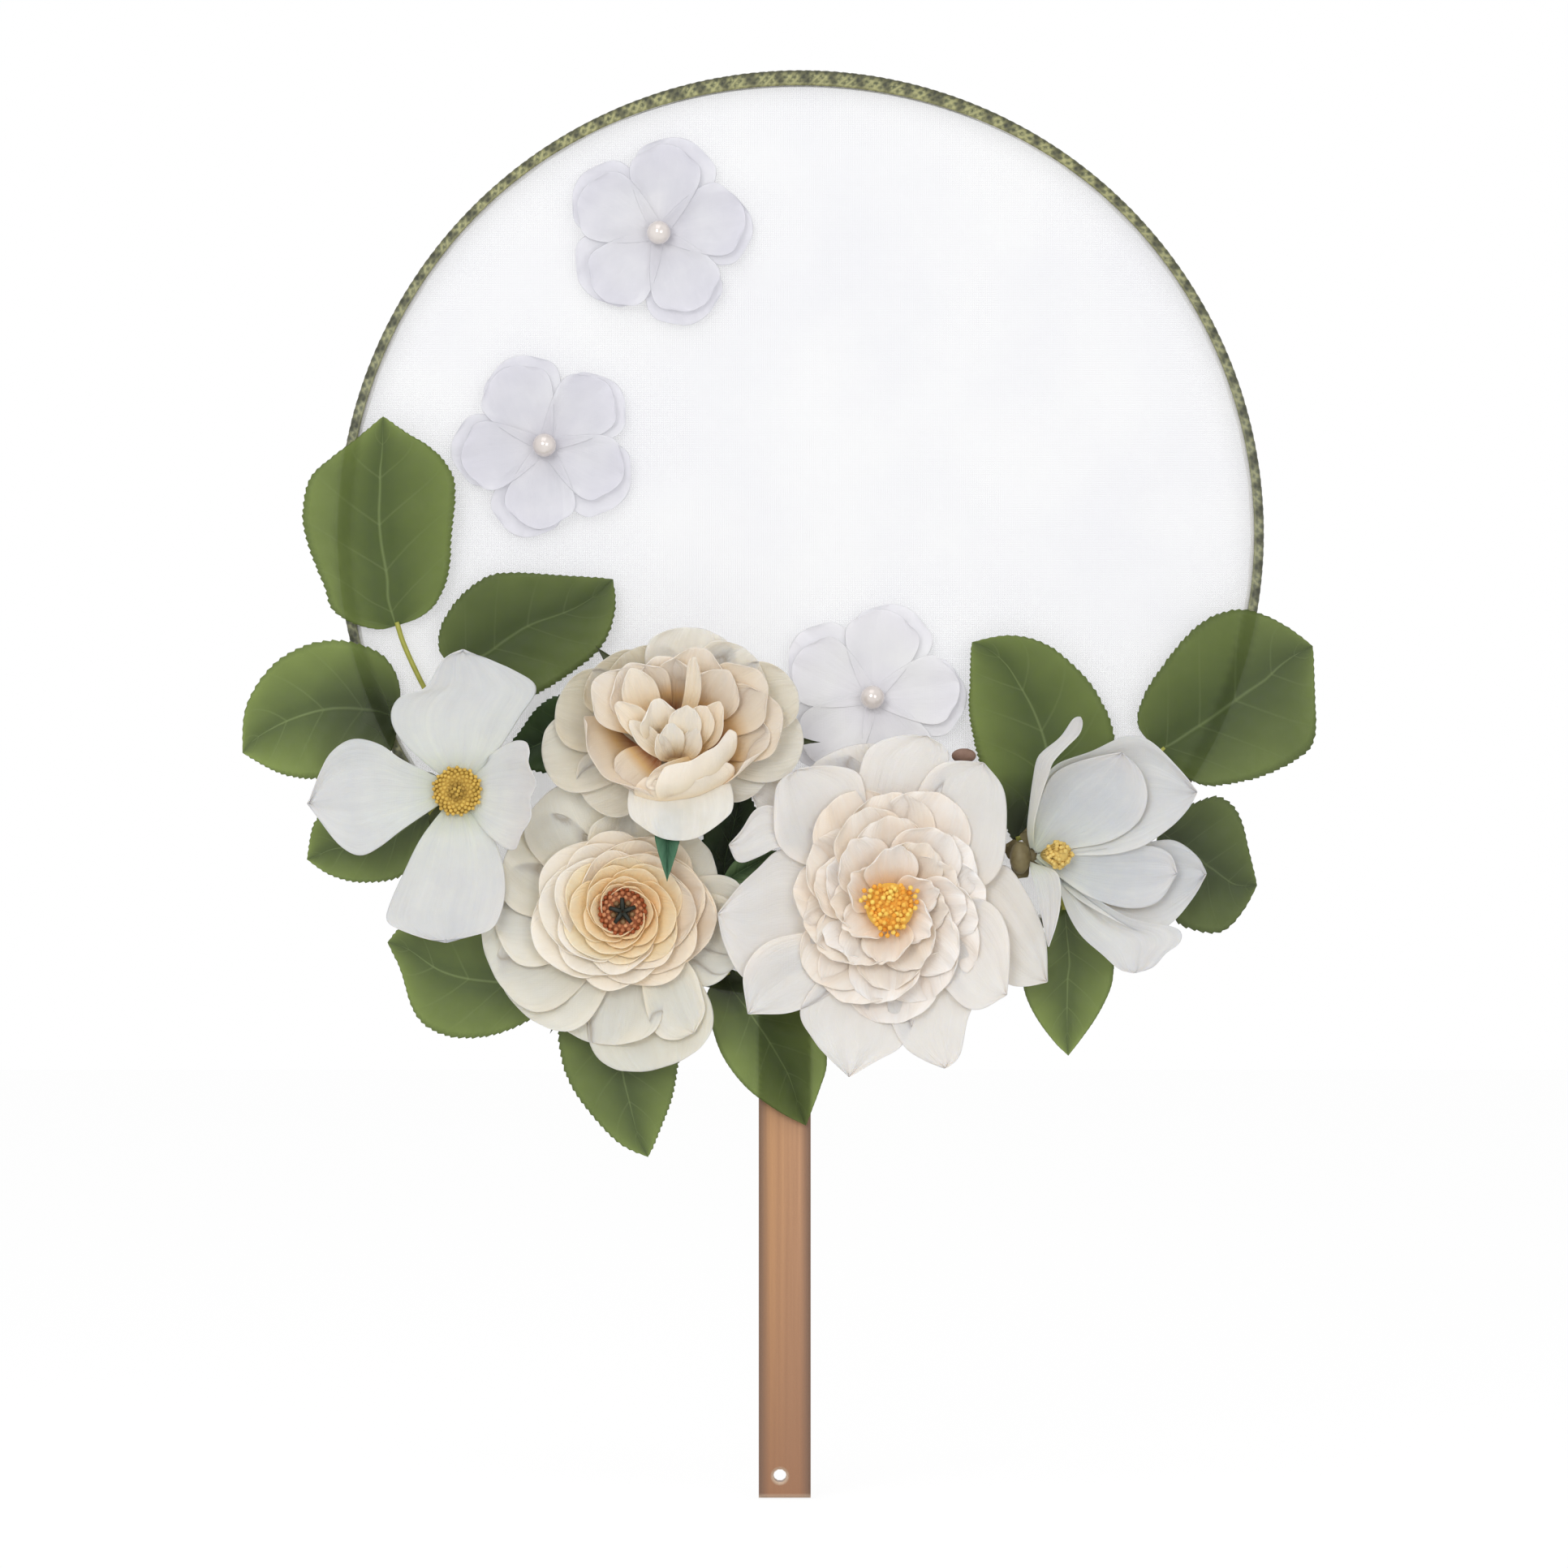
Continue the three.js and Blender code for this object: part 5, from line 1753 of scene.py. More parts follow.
@dataclass
class Magnolia(Blossom):
    """White magnolia turned to the right."""

    def build(self) -> None:
        """Builds the whole flower."""
        self.add_calyx()
        upper = OutlinePetal(
            left=(
                (0, 2.1), (0.2, 8.4), (1.5, 14.7), (3.6, 21), (6.8, 24.5), (11.5, 26.3), (16.2, 27.9),
                (22, 30.8), (25.7, 32.1), (29.9, 31.5), (33.1, 29.4), (36.8, 25.8), (41, 21), (44.1, 16.8)
            ),
            right=(
                (0.7, 0.5), (6.8, 0), (13.1, -0.3), (22, 0), (28.3, 1.6), (31.5, 3.2), (37.8, 7.9),
                (42, 12.6), (44.1, 16.8)
            ),
            heights=(-1.0, 0.4, 7.5), cup=4.5, crease=(0.35, 1.2), seed=1.0, tone=0.0
        )
        lower_right = OutlinePetal(
            left=(
                (1.5, 0.5), (10.5, 0.5), (18.9, 1), (27.3, 2.6), (33.1, 3.8), (37.8, 4.1), (42, 2.1),
                (45.7, -1.6), (46.7, -5.3)
            ),
            right=(
                (1.5, -1.6), (6.8, -6.8), (13.1, -12.4), (21, -17), (28.3, -20.4), (34.4, -20.2),
                (39, -17.2), (42.8, -12.8), (45.2, -8.9), (46.7, -5.3)
            ),
            heights=(-0.4, -1.4, 0.6), cup=3.5, scallops=0.3, seed=2.0, tone=-0.2
        )
        bottom = OutlinePetal(
            left=(
                (2, -1), (10.5, -5.3), (15.7, -10.5), (26.2, -16.8), (36.8, -18.9), (40.2, -20.5),
                (39.6, -23.7), (35.7, -26.3), (32.5, -30), (27.3, -31.5)
            ),
            right=(
                (0.7, -1.6), (6.3, -5.3), (7.6, -9.5), (9.4, -15.2), (13.1, -21.6), (18.9, -26.8),
                (23.1, -30.5), (27.3, -31.5)
            ),
            heights=(-0.6, 1.0, 8.5), cup=3.0, crease=(0.1, -2.2), seed=3.0, tone=-0.1
        )
        edge_on = OutlinePetal(
            left=(
                (-0.3, 1.6), (-1.1, 6.3), (-0.6, 12.6), (0.2, 19.5), (1.3, 25.8), (3.6, 28.4),
                (7.3, 31.5), (10.5, 36.3), (12, 36.8)
            ),
            right=(
                (0.7, 1.6), (0.7, 8.4), (2.3, 15.8), (4.2, 21.6), (5.2, 24.7), (8.9, 28.9), (12, 32.1),
                (12.8, 35.2), (12, 36.8)
            ),
            heights=(0.0, 10.0, 24.0), cup=0.5, twist=-5.0, ruffle=0.2, seed=4.0, tone=0.9
        )
        lower_left = OutlinePetal(
            left=((1.5, -2.6), (6.3, -4.2), (7.6, -7.9), (7.3, -13.7), (6, -18.9), (3.9, -24.3)),
            right=((-0.6, -1.6), (0, -5.3), (1.3, -10.5), (2.3, -15.8), (3.2, -21), (3.9, -24.3)),
            heights=(0.0, 8.0, 19.0), cup=1.0, twist=3.0, seed=5.0, tone=0.7
        )
        self.add_petals(
            0, "outer_petals", [upper, lower_right, bottom, edge_on, lower_left], WHITE_SILK,
            "white_petal"
        )
        inner_upper = OutlinePetal(
            left=((0.5, 1.4), (0.9, 8.4), (2.4, 15), (5.2, 21), (10, 24.2), (17, 26.2), (24, 27.4)),
            right=((1.5, 0.5), (11, 1.6), (21, 3.6), (28.5, 8.6), (31, 15.6), (29, 22.6), (24, 27.4)),
            heights=(-0.6, 1.4, 6.4), cup=2.2, seed=6.0, tone=0.1
        )
        inner_lower = OutlinePetal(
            left=((1.5, 0.2), (12, 0.8), (22, 2), (31, 2.6), (37, 0.4), (39, -5)),
            right=((1.2, -0.8), (8, -6.4), (16, -11.6), (26, -14.4), (34, -12.6), (39, -5)),
            heights=(-0.6, 0.6, 2.2), cup=1.6, seed=7.0, tone=0.3
        )
        self.add_petals(1, "inner_petals", [inner_upper, inner_lower], WHITE_SILK, "white_petal")
        foot = self.hub(1) + 0.5
        dice = random.Random(51)
        bm = bmesh.new()
        pad(bm, [(0, foot), (1.0, foot), (2.3, foot + 6.6), (1.4, foot + 8.0), (0, foot + 8.4)], 0.6)
        for i in range(64):
            turn = i * GOLDEN_TURN
            out = 1.2 + 2.4 * math.sqrt((i + 0.5) / 64)
            top = foot + 10.4 - 1.7 * (out - 1.2) - dice.uniform(0.0, 2.0)
            tone = dice.uniform(-0.6, 1.0)
            stamen(bm, around(0.3 * out, turn, foot), around(out, turn, top), 0.22, 0.3, 0.66, tone)
        self.add_centre("stamens", bm, YELLOW_STAMEN, "gold")


@dataclass
class OrganzaFlower:
    """Two layers of sheer petals flat on the cloth, with a pearl."""

    name: str
    angle: float
    inset: float
    reach: float
    first: float
    finish: PetalFinish = SHEER_PETAL
    pearl_radius: float = 3.2
    wall: float = 0.3

    def layer(
        self, node: str, level: float, length: float, first: float, slopes: tuple[float, ...], seed: int
    ) -> None:
        """Adds one layer of five petals.

        Args:
            node: The layer's name.
            level: Its height above the hoop's middle plane.
            length: Reach of its petals.
            first: Angle of its first petal.
            slopes: Slopes from root to tip.
            seed: Start of the random differences.
        """
        bm = bmesh.new()
        spots = [(first + 72 * i, length) for i in range(5)]
        for petal in ring_of_petals(
            spots, seed, 0.82, slopes=slopes, root=0.2, cup=1.6, ruffle=0.3, uneven=0.6, round_tip=3.0
        ):
            cloth_grid(bm, 16, 12, petal.point, petal.tone)
        place = on_face(polar(self.angle, self.inset), level)
        nodes = [f"{self.name}_{node}"]
        add_piece(
            f"{nodes[0]}_silk", bm, place, self.finish.material(), "organza", nodes, wall=0.15, levels=1
        )

    def build(self) -> None:
        """Builds the whole flower."""
        seat = CLOTH_FRONT + SEAT_GAP + self.wall / 2
        seed = int(self.angle)
        self.layer("back_petals", seat, self.reach, self.first, (2, 4, 8), seed)
        over = seat + self.wall + SEAT_GAP
        self.layer("front_petals", over, self.reach - 2, self.first + 9, (2, 8, 14), seed + 1)
        bm = bmesh.new()
        rise = seat + 1.5 * self.wall + 2 * SEAT_GAP + self.pearl_radius - self.wall / 2
        bmesh.ops.create_uvsphere(bm, u_segments=36, v_segments=20, radius=self.pearl_radius)
        add_piece(
            f"{self.name}_pearl_bead", bm, on_face(polar(self.angle, self.inset), rise), NACRE.material(),
            "pearl", [f"{self.name}_pearl"]
        )


# Leaves


@dataclass(frozen=True)
class Leaf:
    """One pressed leaf, cut to its own outline on the face, with a serrated edge."""

    name: str
    left: tuple[Point, ...]
    right: tuple[Point, ...]
    finish: LeafFinish = LEAF_GREEN
    slot: str = "leaf"
    level: float = LEAF_LEVEL
    rise: float = 2.0
    fold: float = 1.6
    tooth: float = 0.6
    tooth_pitch: float = 1.7
    pairs: float = 6.0
    tone: float = 0.6
    # Painted shade at the root, where the leaf lies under the flowers: the tone there, and the share of
    # the length over which it fades.
    shaded_root_tone: float | None = None
    shaded_root_share: float = 0.35
    rows: int = 160
    columns: int = 20
    vein_sweep: float = 0.21
    crown: float = 0.6
    quilt_depth: float = 0.4
    keel_depth: float = 0.4
    keel_width: float = 0.16
    wave_depth: float = 0.5
    wave_size: float = 14.0
    wall: float = 0.22

    def shade(self, point: Vector) -> float:
        """Gives the painted shade on the cloth where the braid or the handle lies close behind it and
        keeps back the light that comes through.
        """
        off_braid = abs(point.xy.length - BRAID_MIDDLE) / BRAID_SHADE
        over_braid = max(0.0, min(1.0, 2.5 - 2 * off_braid))
        off_handle = abs(point.x + HOOP_MIDDLE[0]) / HANDLE_SHADE
        over_handle = max(0.0, min(1.0, 5.5 - 5 * off_handle)) if point.y < -BRAID_MIDDLE else 0.0
        return BRAID_PAINTED_SHADE * over_braid + HANDLE_PAINTED_SHADE * over_handle

    def build(self) -> None:
        """Builds the leaf."""
        right, left = both_sides(self.left, self.right, self.rows)
        root, tip = right[0], right[-1]
        length = (tip - root).length

        def surface(along: float, across: float) -> Vector:
            """Gives one point of the leaf."""
            row = min(round(along * self.rows), self.rows)
            middle = right[row].lerp(left[row], 0.5)
            half = left[row] - middle
            teeth = (along * length * 1.25 / self.tooth_pitch) % 1.0
            grown = 1.0 + self.tooth * teeth * abs(across) ** 8 / max(half.length, 2.0)
            flat = middle + half * across * grown
            arch = math.sin(math.pi * along)
            swept = (along - self.vein_sweep * abs(across)) * self.pairs
            beside = min(1.0, abs(across) / 0.25)
            quilt = math.sin(math.pi * swept) ** 2 * (1 - abs(across) ** 3) * beside
            keel = -self.keel_depth * math.exp(-((across / self.keel_width) ** 2))
            wave = self.wave_depth * crumple(flat, self.wave_size, len(self.name))
            raised = self.fold * across**2 + self.crown + self.quilt_depth * quilt + wave
            lift = raised * arch + keel * arch
            return Vector((flat.x, flat.y, self.rise * along + lift))

        bm = bmesh.new()
        cloth_grid(bm, self.rows, self.columns, surface, self.tone)
        tones = tone_layer(bm)
        # Painted shade on the tone: darker towards the root, and darker again over the braid and the
        # handle.
        for vert in bm.verts:
            share = min(1.0, (vert.co.xy - root.xy).length / (self.shaded_root_share * length))
            share *= share
            shaded = self.tone if self.shaded_root_tone is None else self.shaded_root_tone
            vert[tones] = shaded + (self.tone - shaded) * share - self.shade(vert.co)
        add_piece(
            f"{self.name}_cloth", bm, on_face((0.0, 0.0), self.level), self.finish.material(), self.slot,
            [self.name], wall=self.wall
        )


@dataclass(frozen=True)
class Stalk:
    """A wired stalk that carries a leaf, along points on the face with their heights."""

    name: str
    points: tuple[tuple[float, float, float], ...]
    radius: float = STALK_RADIUS
    nodes: tuple[str, ...] = ()
    slot: str = "stem"
    steps: int = 14

    def build(self) -> None:
        """Builds the stalk."""
        last = len(self.points) - 1
        line = [through(self.points, last * i / self.steps) for i in range(self.steps + 1)]
        bm = bmesh.new()
        tone_layer(bm)
        tube(bm, line, self.radius)
        add_piece(self.name, bm, on_face((0.0, 0.0), 0.0), STEM_GREEN.material(), self.slot, self.nodes)


LEAVES = (
    Leaf(
        "leaf_left_top",
        (
            (-108.8, -24.8), (-113.6, -25.9), (-120.6, -24.1), (-125.9, -20.4), (-127.9, -14.2),
            (-131.8, -4.6), (-133.6, 4.8), (-131.8, 14.2), (-126.3, 19.9), (-119.3, 25.2), (-112.3, 31.3)
        ),
        (
            (-108.8, -24.8), (-102.9, -22.8), (-98.3, -18.8), (-95.2, -11.6), (-94.1, 0), (-93.2, 12.5),
            (-95.9, 18.8), (-100.5, 23.4), (-106.4, 26.9), (-112.3, 31.3)
        ),
        rise=3.0, tone=0.4
    ),
    Leaf(
        "leaf_left_inner",
        (
            (-91.7, -36.8), (-96.8, -32.4), (-96.8, -25.9), (-93.5, -19.9), (-88.9, -15.1), (-83, -11.6),
            (-75.9, -11), (-65.4, -11.6), (-50.5, -12.5)
        ),
        (
            (-91.7, -36.8), (-84.7, -41.2), (-75.9, -44.5), (-69.6, -42.3), (-61.9, -37.5),
            (-55.3, -32.2), (-51.8, -26.9), (-50.1, -19.9), (-50.5, -12.5)
        ),
        tone=-0.7
    ),
    Leaf(
        "leaf_left_outer",
        (
            (-108.4, -52.1), (-111, -59.8), (-117.6, -64.2), (-128.7, -65.7), (-134.9, -65.7),
            (-141.7, -63.8), (-150.2, -59.2)
        ),
        (
            (-108.4, -52.1), (-107.9, -42.3), (-110.3, -35.7), (-114.9, -31.8), (-122.6, -29.4),
            (-130.3, -29.8), (-137.9, -32.9), (-143.2, -37.2), (-147.8, -44), (-149.8, -50.2),
            (-150.2, -59.2)
        ),
        tone=1.0, shaded_root_tone=-1.6, shaded_root_share=0.6
    ),
    Leaf(
        "leaf_left_low",
        ((-98.9, -75.2), (-102.2, -85), (-107.7, -92.2), (-118.2, -93.8), (-126.3, -92), (-132.9, -87.9)),
        ((-98.9, -75.2), (-106.6, -71.9), (-122, -75.2), (-130.1, -77.3), (-132.9, -87.9)), tone=0.9
    ),
    Leaf(
        "leaf_bottom_left",
        (
            (-65, -122.3), (-69.6, -128.8), (-80.8, -134.3), (-91.3, -135.6), (-99.4, -133.2),
            (-104.2, -128), (-107.7, -117.2), (-111.2, -110.2)
        ),
        (
            (-65, -122.3), (-75.9, -108), (-93.5, -103.6), (-102.2, -103.6), (-107.7, -106.5),
            (-111.2, -110.2)
        ),
        tone=1.0
    ),
    Leaf(
        "leaf_bottom",
        (
            (-47.5, -124.4), (-37.6, -128.8), (-33, -135.4), (-33, -140.9), (-34.7, -151.4),
            (-37.8, -159.9), (-41.1, -168)
        ),
        (
            (-47.5, -124.4), (-58.4, -126.6), (-64.3, -132.6), (-64.3, -139.8), (-61.7, -148.3),
            (-55.8, -156.7), (-48.6, -164.1), (-41.1, -168)
        ),
        tone=0.5
    ),
    Leaf(
        "leaf_on_handle",
        (
            (-20.7, -116.8), (-9.4, -121.4), (1.4, -129.4), (6.2, -138), (6.9, -143.5), (5.1, -149.6),
            (1.4, -159.5)
        ),
        (
            (-20.7, -116.8), (-25.5, -124.9), (-24, -132.3), (-20.9, -140.9), (-14.6, -149.2),
            (-6, -155.6), (1.4, -159.5)
        ),
        tooth=0.1, tone=1.4, shaded_root_tone=-2.2, shaded_root_share=0.3
    ),
    Leaf(
        "leaf_bottom_right",
        (
            (70.9, -99.3), (78.5, -108), (83.6, -114.6), (84, -118.8), (82.9, -123.6), (79.6, -130.1),
            (75.7, -135.8), (72, -140.7)
        ),
        (
            (70.9, -99.3), (65.4, -108), (60.3, -117.9), (60.3, -123.6), (63.4, -130.4), (68.2, -136.9),
            (72, -140.7)
        ),
        tooth=0.1, tone=1.0
    ),
    Leaf(
        "leaf_right_inner", ((57.7, -83.9), (50, -66.4), (45.9, -51.1), (45.7, -40.1), (46.1, -29.4)),
        (
            (57.7, -83.9), (70.9, -71.9), (82.3, -59.8), (83.6, -53), (78.5, -41.8), (70, -33.1),
            (63.4, -29.1), (55.3, -27.8), (46.1, -29.4)
        ),
        tone=0.2, shaded_root_tone=-2.6
    ),
    Leaf(
        "leaf_right_top",
        (
            (96.7, -58.7), (91, -52.1), (92.5, -44), (97.6, -35.9), (103.3, -28.7), (109.6, -23.4),
            (116.9, -21), (123.4, -21.9), (130.7, -25.4), (137.7, -30.5)
        ),
        (
            (96.7, -58.7), (102.4, -64.4), (108.1, -67.7), (115.3, -67.3), (125, -64.9), (134.8, -59.6),
            (138.1, -54.3), (138.1, -42.3), (137.7, -30.5)
        ),
        rise=3.0, tone=-0.35
    ),
    Leaf(
        "leaf_right_outer",
        (
            (96.1, -80), (100.4, -75.2), (105.7, -73), (111.4, -71.2), (115.8, -73.4), (118.6, -78.2),
            (120.6, -86.1), (122.8, -94.9)
        ),
        (
            (96.1, -80), (96.1, -92.7), (100.7, -103.6), (105.7, -106.5), (111.4, -107.4),
            (115.3, -105.8), (119.5, -100.8), (122.8, -94.9)
        ),
        tone=-1.0
    ),
    # The filler leaves take the nearly black cloth: painted shade in the deep gaps between the flowers.
    Leaf(
        "filler_leaf_left",
        ((-55.1, -51.1), (-58.4, -60.9), (-65, -64.2), (-71.6, -63.8), (-75.9, -61.6), (-80.8, -59.8)),
        ((-55.1, -51.1), (-62.8, -44.9), (-66.5, -44.5), (-71.3, -48), (-75.9, -54.3), (-80.8, -59.8)),
        finish=LEAF_IN_PAINTED_SHADE, slot="dark_leaf"
    ),
    Leaf(
        "filler_leaf_centre", ((-20.5, -100.8), (-26.5, -90), (-24.5, -78), (-16, -66.5)),
        ((-20.5, -100.8), (-15, -91), (-11.5, -78), (-16, -66.5)), finish=LEAF_IN_PAINTED_SHADE, slot="dark_leaf",
        tone=-1.0
    ),
    Leaf(
        "narrow_leaf_upper", ((-35.2, -70.5), (-38.7, -77), (-38.7, -83), (-35.6, -93.5)),
        ((-35.2, -70.5), (-31.6, -77), (-32.6, -84), (-35.6, -93.5)), finish=BLADE_GREEN, slot="blade",
        level=22.5, rise=6.0, fold=0.6, tooth=0.0
    ),
    Leaf(
        "narrow_leaf_lower", ((-22.3, -95.4), (-18, -88.5), (-12, -85.5), (-6.5, -85.5)),
        ((-22.3, -95.4), (-15, -94), (-9.5, -91), (-6.5, -85.5)), finish=BLADE_OLIVE, slot="blade",
        level=6.5, fold=0.6, tooth=0.0
    )
)
STALKS = (
    Stalk(
        "left_spray_wires",
        (
            (-108.8, -24, 4.7), (-106.5, -31, 4.2), (-101, -42.5, 3.6), (-95.3, -51.7, 3.2),
            (-94.8, -62, 2.8)
        ),
        nodes=("left_spray_stem",)
    ),
    Stalk("left_inner_wire", ((-90.0, -36.0, 4.8), (-94.0, -43.0, 3.9), (-95.3, -51.7, 3.2))),
    Stalk("left_outer_wire", ((-110.5, -52.5, 4.7), (-104.0, -52.5, 4.0), (-95.3, -51.7, 3.2))),
    Stalk(
        "right_spray_wires", ((98, -57.8, 4.7), (92, -63.5, 4), (77.3, -77.3, 3.2), (71.3, -83.5, 2.8)),
        nodes=("right_spray_stem",)
    ),
    Stalk("right_inner_wire", ((58.0, -82.5, 4.8), (66.0, -80.0, 3.9), (77.3, -77.3, 3.2))),
    Stalk("right_outer_wire", ((97.5, -80.5, 4.7), (88.0, -78.5, 4.0), (77.3, -77.3, 3.2))),
    Stalk("leaf_left_low_wire", ((-100.0, -76.0, 4.7), (-95.0, -71.0, 3.6), (-91.0, -68.5, 2.8))),
    Stalk("leaf_bottom_left_wire", ((-67.0, -121.5, 4.7), (-58.0, -114.0, 3.8), (-50.0, -105.0, 2.8))),
    Stalk("leaf_bottom_wire", ((-47.4, -126.0, 4.7), (-49.0, -117.0, 4.0), (-51.0, -106.0, 2.8))),
    Stalk("leaf_on_handle_wire", ((-19.5, -119.0, 4.7), (-23.5, -112.0, 4.0), (-28.0, -107.0, 2.8))),
    Stalk("leaf_bottom_right_wire", ((70.9, -101.5, 4.7), (70.4, -96.0, 3.8), (70.0, -92.0, 2.8))),
    Stalk("filler_left_wire", ((-57.0, -52.0, 4.7), (-51.0, -50.5, 3.8), (-46.0, -49.5, 2.8))),
    Stalk("filler_centre_wire", ((-20.6, -99.0, 4.7), (-20.5, -104.0, 3.8), (-20.0, -108.0, 2.8))),
    Stalk(
        "narrow_upper_wire", ((-35.2, -72.0, 22.9), (-35.0, -69.0, 20.5), (-34.6, -66.0, 3.0)), radius=0.5
    ),
    Stalk(
        "narrow_lower_wire", ((-21.0, -94.5, 6.8), (-25.0, -97.5, 5.0), (-29.0, -99.6, 2.8)), radius=0.5
    )
)


# Frame of the fan


@dataclass
class FanFrame:
    """Handle, pegs, hoop, the two face cloths and the braid round the edge.

    The braid folds in over the face by narrow, and by wide round its crown; its strands cross at
    strand_pitch and slant, and stand out by puff.
    """

    outer_radius: float = 125.0
    cloth_radius: float = 122.8
    rim_half: float = 2.35
    narrow: float = 2.0
    wide: float = 3.5
    crown_angle: float = 88.0
    crown_spread: float = 48.0
    handle_half: float = 7.3
    fold_over: float = 0.35
    corner: float = 0.9
    sunk: float = 0.35
    strand_pitch: float = 2.5
    slant: float = 1.05
    puff: float = 0.15
    slack: float = 0.1
    slack_size: float = 45.0
    gathers: int = 60
    gather_depth: float = 0.05
    around: int = 1300
    section: int = 22

    def build(self) -> None:
        """Builds and dresses the frame."""
        self.dress_nodes()
        self.add_cloth("face_cloth_front", CLOTH_MIDDLE, 5.0)
        self.add_cloth("face_cloth_back", -CLOTH_MIDDLE, 9.0)
        self.add_braid()

    def dress_nodes(self) -> None:
        """Gives the rigid CAD nodes their finishes."""
        finishes = {"handle": BAMBOO, "hoop": PALE_ROD}
        finishes |= {"clasp_pin_lower": PEG_WOOD, "clasp_pin_upper": PEG_WOOD}
        for node, finish in finishes.items():
            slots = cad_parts[node].material_slots
            for slot in slots:
                slot.material = finish.material()
            LOG.info("%s: %d slots dressed", node, len(slots))

    def add_cloth(self, node: str, level: float, seed: float) -> None:
        """Adds one stretched disc of organza.

        Args:
            node: The CAD cloth that it stands for.
            level: Its height above the hoop's middle plane.
            seed: Start of its slight unevenness.
        """
        bm = bmesh.new()
        tone_layer(bm)
        rings = 14
        turned(bm, [(self.cloth_radius * i / rings, 0.0) for i in range(rings + 1)], 180)
        for vert in bm.verts:
            reach = vert.co.length / self.cloth_radius
            slack = self.slack * crumple(vert.co, self.slack_size, seed) * (1 - reach**4)
            turn = math.atan2(vert.co.y, vert.co.x)
            gather = self.gather_depth * math.sin(turn * self.gathers)
            vert.co.z = slack + gather * reach**8 * (1 - reach**30)
        cloth = add_piece(
            f"{node}_organza", bm, on_face((0.0, 0.0), level), FACE_ORGANZA.material(), "organza", [node],
            wall=0.1
        )

    def fold_width(self, angle: float) -> float:
        """Gives how far the braid folds in at an angle round the hoop."""
        share = max(0.0, 1 - abs(angle - self.crown_angle) / self.crown_spread)
        eased = share * share * (3 - 2 * share)
        return self.narrow + (self.wide - self.narrow) * eased

    def add_braid(self) -> None:
        """Adds the braid: a woven strip folded over the rim from face to back."""
        inner = self.outer_radius - self.narrow
        first = -90 + math.degrees(math.asin((self.handle_half - HOOP_MIDDLE[0]) / inner))
        last = 270 - math.degrees(math.asin((self.handle_half + HOOP_MIDDLE[0]) / inner))
        corner = self.corner
        relief: list[float] = []

        def surface(along: float, across: float) -> Vector:
            """Gives one point of the strip, and notes its relief."""
            angle = first + (last - first) * along
            fold = self.fold_width(angle) + self.fold_over
            flat_rim = self.rim_half - corner
            turn_length = 0.5 * math.pi * corner
            whole = flat_rim + turn_length + fold - corner
            place = abs(across) * whole
            sign = 1 if across >= 0 else -1
            if place < flat_rim:
                depth, height, lean = 0.0, place, 0.0
            elif place < flat_rim + turn_length:
                lean = (place - flat_rim) / corner
                depth = corner * (1 - math.cos(lean))
                height = flat_rim + corner * math.sin(lean)
            else:
                lean = 0.5 * math.pi
                depth = corner + place - flat_rim - turn_length
                height = self.rim_half
            arc = math.radians(angle) * self.outer_radius
            crossing = across * whole * self.slant
            first_strand = math.sin(2 * math.pi * (arc + crossing) / self.strand_pitch)
            second_strand = math.sin(2 * math.pi * (arc - crossing) / self.strand_pitch)
            top = max(first_strand, second_strand)
            relief.append(top)
            puff = self.puff * top
            radius = self.outer_radius - self.sunk - depth + puff * math.cos(lean)
            turn = math.radians(angle)
            return Vector(
                (
                    radius * math.cos(turn), radius * math.sin(turn),
                    sign * (height + puff * math.sin(lean))
                )
            )

        bm = bmesh.new()
        cloth_grid(bm, self.around, self.section, surface)
        layer = tone_layer(bm)
        for vert, value in zip(bm.verts, relief):
            vert[layer] = value
        bmesh.ops.recalc_face_normals(bm, faces=bm.faces)
        add_piece(
            "edge_braid_gimp", bm, on_face((0.0, 0.0), 0.0), GIMP.material(), "braid", ["edge_braid"],
            wall=0.4
        )


# Studio


def seen_plainly(graph: Graph) -> Socket:
    """Gives 1 where the eye looks straight, in a reflection or through a sheer cloth."""
    seen = graph.node("ShaderNodeLightPath").outputs
    straight = graph.math("MAXIMUM", seen["Is Camera Ray"], seen["Is Glossy Ray"])
    return graph.math("MAXIMUM", straight, seen["Is Transmission Ray"])


